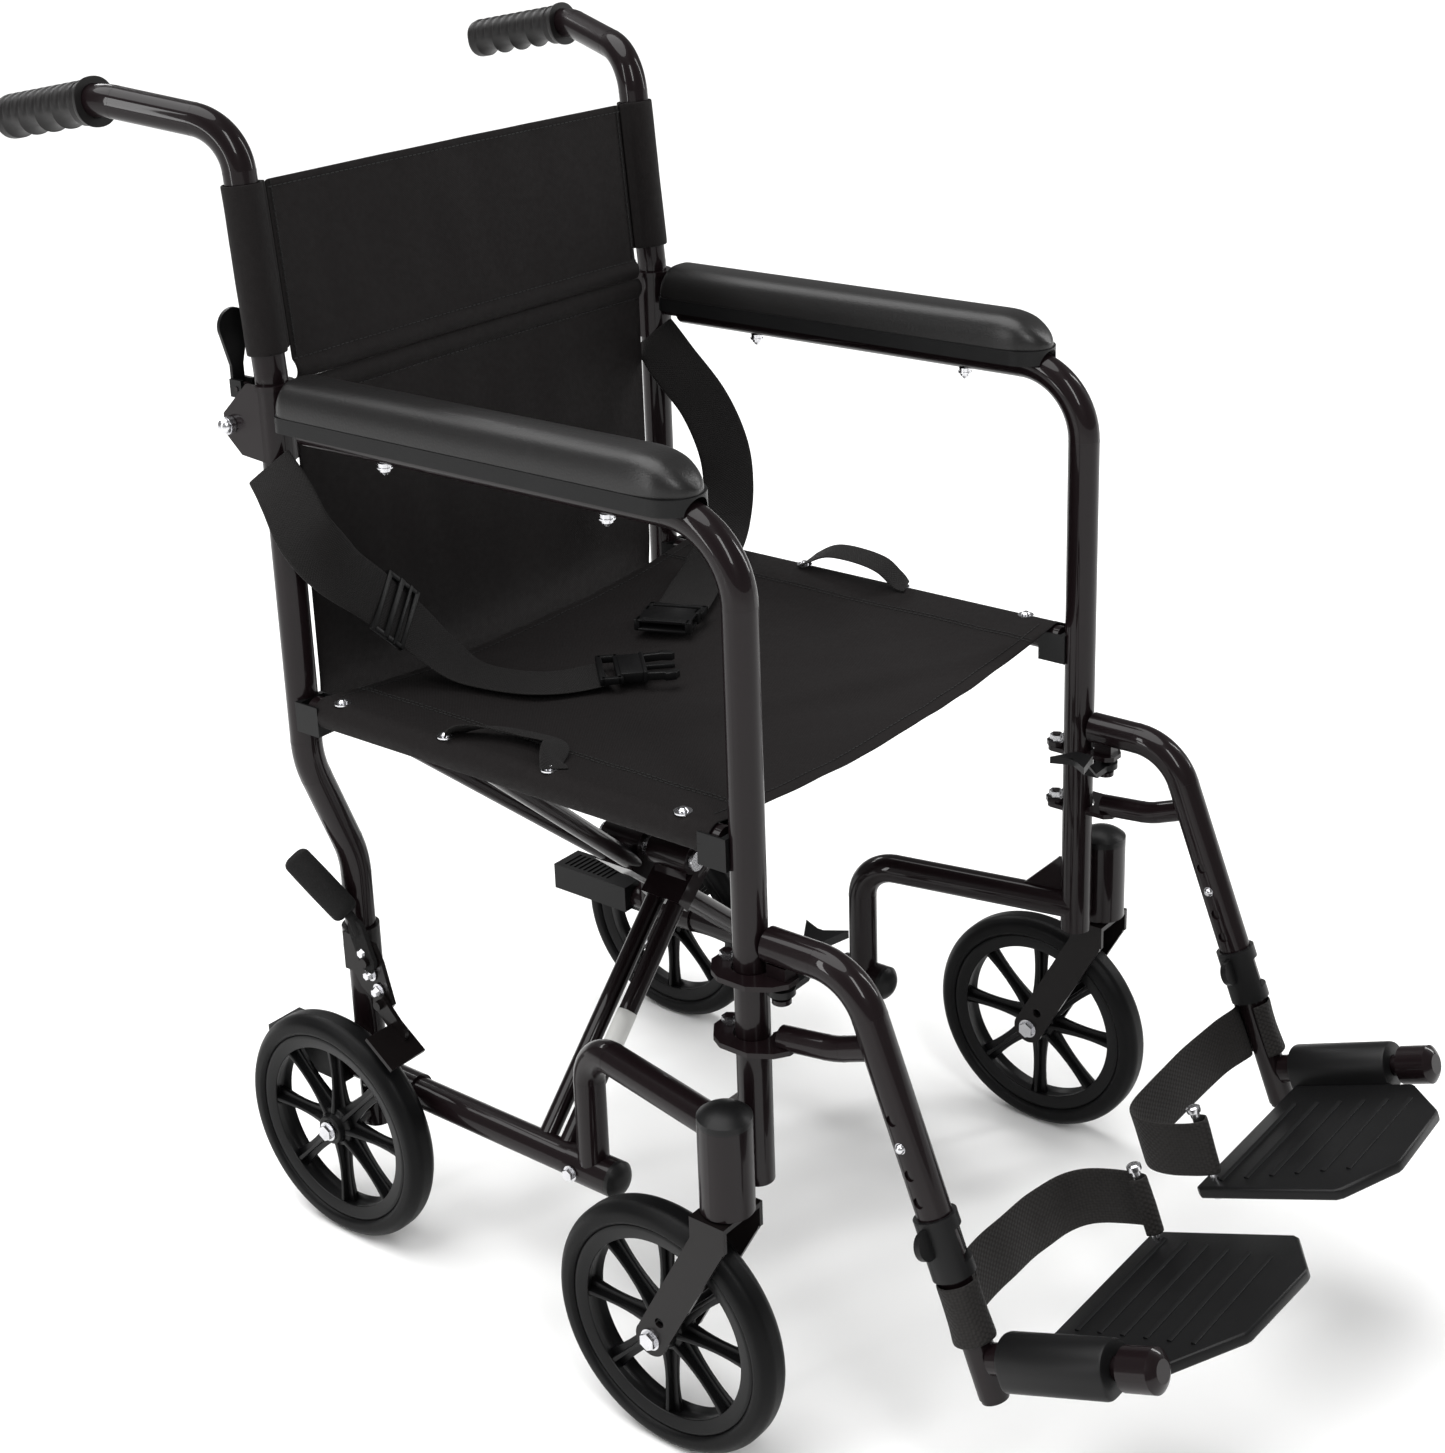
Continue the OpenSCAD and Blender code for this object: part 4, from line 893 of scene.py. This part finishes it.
liftLoops = {   # webbing loops screwed along both edges of the seat: far one stands up, near one lies over
    "left": [(0.2275, 0.060, 0.5045), (0.226, 0.050, 0.512), (0.223, 0.026, 0.524), (0.219, -0.005, 0.527),
             (0.219, -0.030, 0.523), (0.224, -0.042, 0.511), (0.2275, -0.050, 0.5045)],
    "right": [(-0.2275, 0.060, 0.5045), (-0.222, 0.054, 0.508), (-0.206, 0.035, 0.509),
              (-0.197, 0.005, 0.5075), (-0.199, -0.025, 0.509), (-0.219, -0.040, 0.509),
              (-0.2275, -0.050, 0.5045)],
}
loopPieces = []
for side, k in sides.items():
    points = [place(*p) for p in liftLoops[side]]
    facing = [(0, 0.2, 1), (-k * 0.2, 0.8, 0.8), (-k * 0.3, 0.3, 1), (-k * 0.3, 0, 1), (-k * 0.3, -0.3, 1),
              (-k * 0.2, -0.8, 0.8), (0, -0.2, 1)]
    mesh, line = strap("loop", points, facing, 0.022, columns=7, steps=10)
    piece = finishMesh(f"{side}_lift_loop", mesh, "webbing", "seat", smooth=60)
    thicken(piece, 0.0014, 0.0, 1)
    loopPieces.append(piece)
for piece in [seatCloth, seatStitches, seatScrews] + loopPieces:
    foldWithSeat(piece)
print("seat made")

# Back upholstery, in the leaning frame of the canes above the crease and upright below it

backRest = {"top": 0.1452, "foot": -0.0085, "sleeveFoot": 0.017, "sleeveR": 0.0150, "seamX": 0.203,
            "bulge": 0.0050, "wrinkle": 0.0019, "lowerFoot": 0.455, "lowerHalf": 0.2055, "thickness": 0.0022,
            "creases": (0.0070, -0.0085), "ridge": 0.0042, "stitchOut": -0.0018, "foldKeep": 0.285}
lean = leanFrame()


def backBulge(x, z):
    share = max(0.0, 1 - (x / 0.2) ** 2)
    folds = (noise.noise(Vector((x * 7, z * 16, 1.5)))
             + 0.7 * noise.noise(Vector((x * 24, z * 9 + x * 12, 7.0))))
    return backRest["bulge"] * share + backRest["wrinkle"] * folds * min(1, share * 2.5)


def upperBulge(x, up):         # the bulge with its height measured from the bend
    return backBulge(x, chair["leanZ"] + up)


def lowerBulge(x, z):          # the bulge, drawn flat towards the lower edge
    return backBulge(x, z) * min(1, (z - 0.44) * 8)


def backRidge(up):             # two padded ridges between the sewn creases, up measured from the bend
    out = 0.0
    for low, high in ((backRest["creases"][0] - 0.0155, backRest["creases"][0]), (-0.0255, -0.0095)):
        if low < up < high:
            out = backRest["ridge"] * math.sin(math.pi * (up - low) / (high - low)) ** 0.7
    return out


def makeUpperBack():
    b = backRest
    turns = np.radians(np.linspace(180 - 12, -180 + 12, 25))
    rows = []
    for up in np.r_[np.linspace(b["foot"], 0.0075, 13), np.linspace(0.010, b["top"], 42)]:
        rows.append([lean((x, upperBulge(x, up) - backRidge(up), up))
                     for x in np.linspace(-b["seamX"], b["seamX"], 61)])
    grid = np.array(rows)
    piece = finishMesh("back_upper_cloth", surface("upper", grid), "nylonCloth", "right_back",
                       ["back_upper_panel"], smooth=60)
    thicken(piece, b["thickness"], 0.0, 1)
    width = pathLength(grid[30])
    round(pathLength(grid[:, 30]), 3)
    made = [piece]
    for side, k in sides.items():
        rows = []
        for up in np.linspace(b["sleeveFoot"], b["top"] + 0.0005, 40):
            ring = [lean((k * b["seamX"], 0.0009, up))]
            for a in turns:
                wobble = 1 + 0.035 * noise.noise(Vector((math.cos(a) * 2, math.sin(a) * 2 + k * 5, up * 30)))
                ring.append(lean((k * (chair["postX"] + b["sleeveR"] * wobble * math.cos(a)),
                                  b["sleeveR"] * wobble * math.sin(a), up)))
            ring.append(lean((k * b["seamX"], -0.0009, up)))
            rows.append(ring)
        grid = np.array(rows)
        sleeve = finishMesh(f"back_{side}_sleeve", surface("sleeve", grid), "nylonCloth", f"{side}_back",
                            smooth=60)
        thicken(sleeve, 0.0015, 0.0, 1)
        round(pathLength(grid[20]), 3)
        made.append(sleeve)
    return made


def makeLowerBack():
    b = backRest
    rows = []
    for z in np.r_[np.linspace(b["lowerFoot"], 0.72, 44), np.linspace(0.7235, chair["leanZ"] - 0.0092, 15)]:
        ridge = backRidge(z - chair["leanZ"])
        gather = 0.004 * max(0, 1 - (z - b["lowerFoot"]) / 0.05)
        rows.append([place(x, chair["rearPostY"] + lowerBulge(x, z) - ridge + gather, z)
                     for x in np.linspace(-b["lowerHalf"], b["lowerHalf"], 61)])
    grid = np.array(rows)
    piece = finishMesh("back_lower_cloth", surface("lower", grid), "nylonCloth", "right_side",
                       ["back_lower_panel"], smooth=60)
    thicken(piece, b["thickness"], 0.0, 1)
    round(pathLength(grid[30]), 3)
    round(pathLength(grid[:, 30]), 3)
    return piece


backPieces = makeUpperBack()
lowerBack = makeLowerBack()
front = backRest["stitchOut"]
upperSeams = [[lean((x, upperBulge(x, up) + front, up)) for x in np.linspace(-0.2, 0.2, 70)]
              for up in (backRest["creases"][0] + 0.0008, backRest["top"] - 0.006)]
for k in (-1, 1):
    upperSeams.append([lean((k * 0.1985, upperBulge(0.1985, up) + front, up))
                       for up in np.linspace(0.012, 0.143, 40)])
lowerSeams = [[place(x, chair["rearPostY"] + lowerBulge(x, z) + front, z)
               for x in np.linspace(-0.2, 0.2, 70)] for z in (0.7335, 0.467)]
upperStitches = stitches("back_upper_stitching", upperSeams, "right_back")
lowerStitches = stitches("back_lower_stitching", lowerSeams, "right_side")
for piece in [backPieces[0], lowerBack, upperStitches, lowerStitches]:
    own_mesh(piece)
print("back made")

# Lap belt: each half comes from its rear post, and its buckle half lies on the seat

belt = {"width": 0.047, "thickness": 0.0016, "foldKeep": 0.04,
        "post": {"right": (-0.243, 0.203, 0.690), "left": (0.243, 0.203, 0.694)}}
beltPaths = {
    "right": ([(-0.243, 0.214, 0.694), (-0.243, 0.196, 0.672), (-0.233, 0.190, 0.640), (-0.208, 0.188, 0.606),
               (-0.176, 0.184, 0.575), (-0.148, 0.176, 0.545), (-0.133, 0.160, 0.520),
               (-0.126, 0.136, 0.5045), (-0.116, 0.106, 0.4995), (-0.103, 0.079, 0.4985),
               (-0.082, 0.062, 0.4975), (-0.058, 0.049, 0.4985)],
              [(-1, -0.3, 0.1), (-0.9, -0.4, 0.2), (-0.75, -0.55, 0.35), (-0.55, -0.6, 0.55),
               (-0.4, -0.6, 0.65), (-0.2, -0.6, 0.75), (0.0, -0.5, 0.85), (0.1, -0.3, 0.95),
               (0.05, -0.05, 1), (0, 0, 1), (0, 0, 1), (0, 0, 1)]),
    "left": ([(0.213, 0.214, 0.700), (0.214, 0.194, 0.676), (0.222, 0.166, 0.640), (0.226, 0.148, 0.600),
              (0.222, 0.140, 0.565), (0.210, 0.136, 0.535), (0.192, 0.131, 0.5165), (0.168, 0.123, 0.5075),
              (0.136, 0.111, 0.5025), (0.105, 0.097, 0.4995), (0.078, 0.085, 0.4990)],
             [(-1, -0.2, 0.1), (-0.9, -0.5, 0.1), (-0.85, -0.5, 0.1), (-0.8, -0.5, 0.25), (-0.8, -0.4, 0.4),
              (-0.6, -0.4, 0.7), (-0.3, -0.2, 1), (-0.1, 0, 1), (0, 0, 1), (0, 0, 1), (0, 0, 1)]),
}


def beltFrame(at, ahead):      # X across the band, Y along it, Z up from the seat
    forward = unit(np.array([ahead[0], ahead[1], 0.0]))
    across = np.array([forward[1], -forward[0], 0.0])
    origin = place(*at)
    return lambda p: origin + across * p[0] + forward * p[1] + np.array([0, 0, 1.0]) * p[2]


buckle = {"width": 0.052, "height": 0.0105,
          "male": ((-0.058, 0.049, 0.5015), (0.72, -0.70)),
          "female": ((0.078, 0.085, 0.5030), (-0.93, -0.37))}


def makeMale(name, toShared):
    w, t = buckle["width"], buckle["height"]
    body = bevelledBoxes(name, [
        ((0, -0.0035, 0), (w, 0.005, 0.0060)), ((0, 0.010, 0), (w, 0.0040, 0.0060)),
        ((-w / 2 + 0.0025, 0.004, 0), (0.005, 0.018, 0.0060)),
        ((w / 2 - 0.0025, 0.004, 0), (0.005, 0.018, 0.0060)),
        ((0, 0.0205, 0), (w * 0.80, 0.019, t * 0.8)), ((0, 0.031, 0), (w * 0.86, 0.0035, t * 0.95)),
        ((0, 0.0445, 0), (0.0060, 0.024, 0.0042))], toShared, 0.0011)
    arms = []
    for k in (-1, 1):
        outline = [(k * 0.0165, 0.030), (k * 0.0215, 0.030), (k * 0.0225, 0.045), (k * 0.0255, 0.047),
                   (k * 0.0245, 0.055), (k * 0.0190, 0.0585), (k * 0.0165, 0.056), (k * 0.0185, 0.048),
                   (k * 0.0175, 0.040)]
        arms.append(prism(name, outline, -0.0034, 0.0034, toShared, 0.0009))
    return joined(name, [body] + arms)


def makeFemale(name, toShared):
    w, t = buckle["width"], buckle["height"]
    boxes = [((0, -0.0035, 0), (w, 0.005, 0.0060)), ((0, 0.010, 0), (w, 0.0040, 0.0070)),
             ((-w / 2 + 0.0025, 0.004, 0), (0.005, 0.018, 0.0060)),
             ((w / 2 - 0.0025, 0.004, 0), (0.005, 0.018, 0.0060)),
             ((0, 0.026, t / 2 - 0.0014), (w * 0.90, 0.034, 0.0028)),
             ((0, 0.026, -t / 2 + 0.0014), (w * 0.90, 0.034, 0.0028)),
             ((-w * 0.43, 0.014, 0), (0.005, 0.010, t)), ((w * 0.43, 0.014, 0), (0.005, 0.010, t)),
             ((-w * 0.43, 0.039, 0), (0.005, 0.008, t)), ((w * 0.43, 0.039, 0), (0.005, 0.008, t)),
             ((0, 0.014, 0), (w * 0.8, 0.006, t - 0.002)),
             ((0, 0.0425, t / 2 - 0.0004), (w * 0.7, 0.0016, 0.0016)),
             ((0, 0.0390, t / 2 - 0.0002), (w * 0.7, 0.0010, 0.0012))]
    return bevelledBoxes(name, boxes, toShared, 0.0010)


def makeSlider(name, line, normals, at):   # the ladder lock that sets the belt's length
    i = int(at * (len(line) - 1))
    ahead = unit(line[i + 1] - line[i - 1])
    up = unit(np.array(normals, float))
    side = unit(np.cross(ahead, up))
    up = np.cross(side, ahead)
    origin = line[i] + up * 0.0012
    toShared = lambda p: origin + side * p[0] + ahead * p[1] + up * p[2]
    w = belt["width"] + 0.008
    boxes = [((0, k * 0.016, 0), (w, 0.005, 0.0042)) for k in (-1, 1)] + \
            [((k * (w / 2 - 0.0022), 0, 0), (0.0044, 0.034, 0.0042)) for k in (-1, 1)] + \
            [((0, -0.003, 0.0016), (w, 0.0055, 0.0030)), ((0, 0.0075, 0.0016), (w, 0.0035, 0.0030))]
    return bevelledBoxes(name, boxes, toShared, 0.0010)


beltLines = {}
for side, k in sides.items():
    points, facing = beltPaths[side]
    points = [place(*p) for p in points]
    mesh, line = strap("belt", points, facing, belt["width"], columns=11, steps=12, crown=0.0010,
                       wave=0.0008)
    beltLines[side] = line
    piece = finishMesh(f"{side}_belt_webbing", mesh, "webbing", f"{side}_side", [f"{side}_lap_belt"],
                       smooth=60)
    thicken(piece, belt["thickness"], 0.0, 1)
    trim = []
    if side == "right":
        toShared = beltFrame(*buckle["male"])
        trim.append(finishMesh("right_belt_buckle", makeMale("male", toShared), "blackPlastic", "right_side"))
        trim.append(finishMesh("right_belt_slider", makeSlider("slider", line, (-0.3, -0.6, 0.7), 0.42),
                               "blackPlastic", "right_side"))
    else:
        toShared = beltFrame(*buckle["female"])
        trim.append(finishMesh("left_belt_buckle", makeFemale("female", toShared), "blackPlastic",
                               "left_side"))
    round(pathLength(line), 3)
    for part in [piece] + trim:      # each belt piece gets its own copy of its mesh
        tuple(place(*belt["post"][side]))
        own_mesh(part)
print("lap belt made")

# Footplates, their heel bolts and the elastic heel loops

plate = {"reach": 0.191, "length": 0.151, "low": -0.016, "top": -0.0072, "ridges": 6, "ridgePitch": 0.0195,
         "sleeveR": 0.019, "sleeveDrop": 0.0168, "boreR": 0.0084, "boltX": 0.177, "boltY": -0.038}


def makeFootplate(side, k):
    p, leg = plate, legFrame(k)
    drop = chair["axleDrop"]
    toShared = lambda q: leg((q[0], q[1], q[2] - drop))
    outline = [(-0.0125, -0.0265), (-p["reach"] + 0.004, -0.0265), (-p["reach"], -0.0305),
               (-p["reach"], -p["length"] + 0.007), (-p["reach"] + 0.003, -p["length"] + 0.002),
               (-p["reach"] + 0.043, -p["length"] - 0.0245), (-p["reach"] + 0.048, -p["length"] - 0.0255),
               (-0.066, -p["length"] - 0.0215), (-0.062, -p["length"] - 0.0195),
               (-0.0195, -p["length"] + 0.0175), (-0.0175, -p["length"] + 0.021),
               (-0.0175, -0.114), (-0.0125, -0.109)]
    slab = prism("slab", outline, p["low"], p["top"], toShared, 0.0022)
    rows = []
    stations = [(-0.0238, 0.90), (-0.0243, 0.97), (-0.0262, 1.0), (-0.1078, 1.0), (-0.1096, 0.97),
                (-0.1101, 0.90)]
    for y, scale in stations:
        ring = []
        for a in fullTurn(49):
            c, s = math.cos(a), math.sin(a)
            corner = (abs(c) ** 5 + abs(s) ** 5) ** (-1 / 5) if s < 0 else 1.0
            reachDown = p["sleeveDrop"] / p["sleeveR"] if s < 0 else 1.0
            ring.append(toShared((p["sleeveR"] * c * corner * scale, y,
                                  p["sleeveR"] * s * corner * reachDown * scale)))
        rows.append(ring)
    bore = [ringAt(toShared, p["boreR"], y, 49) for y in (-0.1101, -0.0238)]
    sleeve = surface("sleeve", np.array(rows + bore + [rows[0]]), weld=True)
    mesh = joined("plate", [slab, sleeve])
    body = f"{side}_footplate"
    finishMesh(f"{side}_footplate_board", mesh, "blackPlastic", body, [f"{side}_footplate"], smooth=30)
    lines = []
    for i in range(p["ridges"]):       # raised lines across the board, shorter towards its front corners
        y = -0.044 - i * p["ridgePitch"]
        inner, outer = -0.179 + 0.004 * i, -0.052 + 0.0015 * i
        rise = p["top"] + 0.0004
        lines.append([toShared((inner + t * (outer - inner), y, rise)) for t in np.linspace(0, 1, 6)])
    ridges = grown("ridges", linesMesh("ridgeLines", lines), "ridges", "blackPlastic")
    finishMesh(f"{side}_footplate_lines", ridges, "blackPlastic", body, smooth=30)
    turns = fullTurn(25)
    profile = [(0.0, -0.0205), (0.0055, -0.0205), (0.0055, -0.0162), (0.0030, -0.0160), (0.0030, 0.0440),
               (0.0036, 0.0445), (0.0036, 0.0478), (0.0052, 0.0482), (0.0055, 0.0492), (0.0055, 0.0520),
               (0.0040, 0.0531), (0.0, 0.0532)]
    grid = np.array([[toShared((-p["boltX"] + r * math.cos(a), p["boltY"] + r * math.sin(a), z))
                      for a in turns] for r, z in profile])
    finishMesh(f"{side}_heel_bolt", surface("bolt", grid, weld=True), "zincPlate", body, smooth=30)


heelLoop = {"width": 0.044, "thickness": 0.0016, "wrapR": 0.0148}


def makeHeelLoop(side, k):
    h, leg = heelLoop, legFrame(k)
    drop = chair["axleDrop"]
    r = h["wrapR"]
    wrap = [(r * math.cos(a), r * math.sin(a), 0.037) for a in np.radians([-150, -100, -50, 0, 50, 95, 130])]
    path = wrap + [(-0.034, 0.0190, 0.036), (-0.066, 0.0225, 0.035), (-0.100, 0.0255, 0.033),
                   (-0.134, 0.0275, 0.030), (-0.163, 0.0260, 0.027), (-0.1795, 0.0150, 0.025),
                   (-0.1855, -0.0060, 0.023), (-0.1850, -0.0310, 0.0215), (-0.1805, -0.0440, 0.0210),
                   (-0.1725, -0.0425, 0.0210), (-0.1705, -0.0350, 0.0210)]
    centre = [np.array(leg((x, y, z - drop))) for x, y, z in path]
    upward = np.array(leg((0, 0, 1))) - np.array(leg((0, 0, 0)))
    ahead = np.gradient(np.array(centre), axis=0)
    facing = np.cross(upward, ahead)
    mesh, line = strap("loop", centre, facing, h["width"], columns=15, steps=10, wave=0.0022)
    piece = finishMesh(f"{side}_heel_webbing", mesh, "meshWebbing", None, [f"{side}_heel_loop"], smooth=60)
    thicken(piece, h["thickness"], 0.0, 1)
    round(pathLength(line), 3)
    tuple(leg((-0.02, 0, -drop)))
    tuple(leg((-0.165, 0, -drop)))
    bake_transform(piece)


for side, k in sides.items():
    makeFootplate(side, k)
    makeHeelLoop(side, k)
print("footrests made")

# Brake grips, bracket screws and the blank label

foam = {"radius": 0.0117, "start": 0.004, "end": 0.0115, "knee": (0.209, 0.206, 0.298),
        "tip": (0.220, 0.248, 0.338), "screwX": 0.2062,
        "screwYZ": ((0.197, 0.268), (0.192, 0.249), (0.184, 0.236))}


def makeBrakeTrim(side, k):
    knee, tip = [place(k * x, y, z) for x, y, z in (foam["knee"], foam["tip"])]
    along = unit(tip - knee)
    cross = unit(np.cross(along, (0, 0, 1)))
    third = np.cross(cross, along)
    length = np.linalg.norm(tip - knee) + foam["end"]
    rows = []
    for t in np.r_[np.linspace(0, 0.12, 9), np.linspace(0.16, 0.84, 10), np.linspace(0.88, 1, 9)]:
        s = foam["start"] + t * (length - foam["start"])
        near = min(s - foam["start"], length - s)
        r = foam["radius"] * (math.sqrt(max(0.03, 1 - (1 - min(1, near / 0.006)) ** 2)) * 0.5 + 0.5)
        r *= 1 + 0.03 * math.sin(math.pi * t)
        rows.append([knee + along * s + r * (math.cos(a) * cross + math.sin(a) * third)
                     for a in fullTurn(37)])
    mesh = surface("foam", np.array(rows), weld=True, fill=True)
    finishMesh(f"{side}_brake_foam", mesh, "gripFoam", f"{side}_brake_lever", smooth=60)
    screws(f"{side}_brake_screws", [place(k * foam["screwX"], y, z) for y, z in foam["screwYZ"]],
           [(k, 0, 0)] * 3, f"{side}_side",
           **{"Head Radius": 0.0048, "Head Height": 0.0030, "Washer Radius": 0.0062, "Sides": 6,
              "Crown": 0.7})


for side, k in sides.items():
    makeBrakeTrim(side, k)
print("brakes trimmed")

# Blank label round one tube of the cross brace

label = {"low": (-0.186, 0.005, 0.136), "high": (0.0, 0.022, 0.296), "radius": 0.0083, "halfTurn": 1.9,
         "span": (0.31, 0.51), "thickness": 0.0002}


def makeLabel():
    low, high = place(*label["low"]), place(*label["high"])
    along = unit(high - low)
    outward = unit(np.cross(np.cross(along, np.array([-0.6, -0.7, 0.4])), along))
    aside = np.cross(along, outward)
    grid = np.array([[low + (high - low) * t
                      + label["radius"] * (math.cos(a) * outward + math.sin(a) * aside)
                      for a in np.linspace(-label["halfTurn"], label["halfTurn"], 25)]
                     for t in np.linspace(*label["span"], 8)])
    piece = finishMesh("brace_label", surface("label", grid), "labelPaper", "cross_a", smooth=60)
    thicken(piece, label["thickness"], 1.0)


makeLabel()
print("label made")

size = {"cad": cadBox, "visual": [list(p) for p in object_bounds()]}
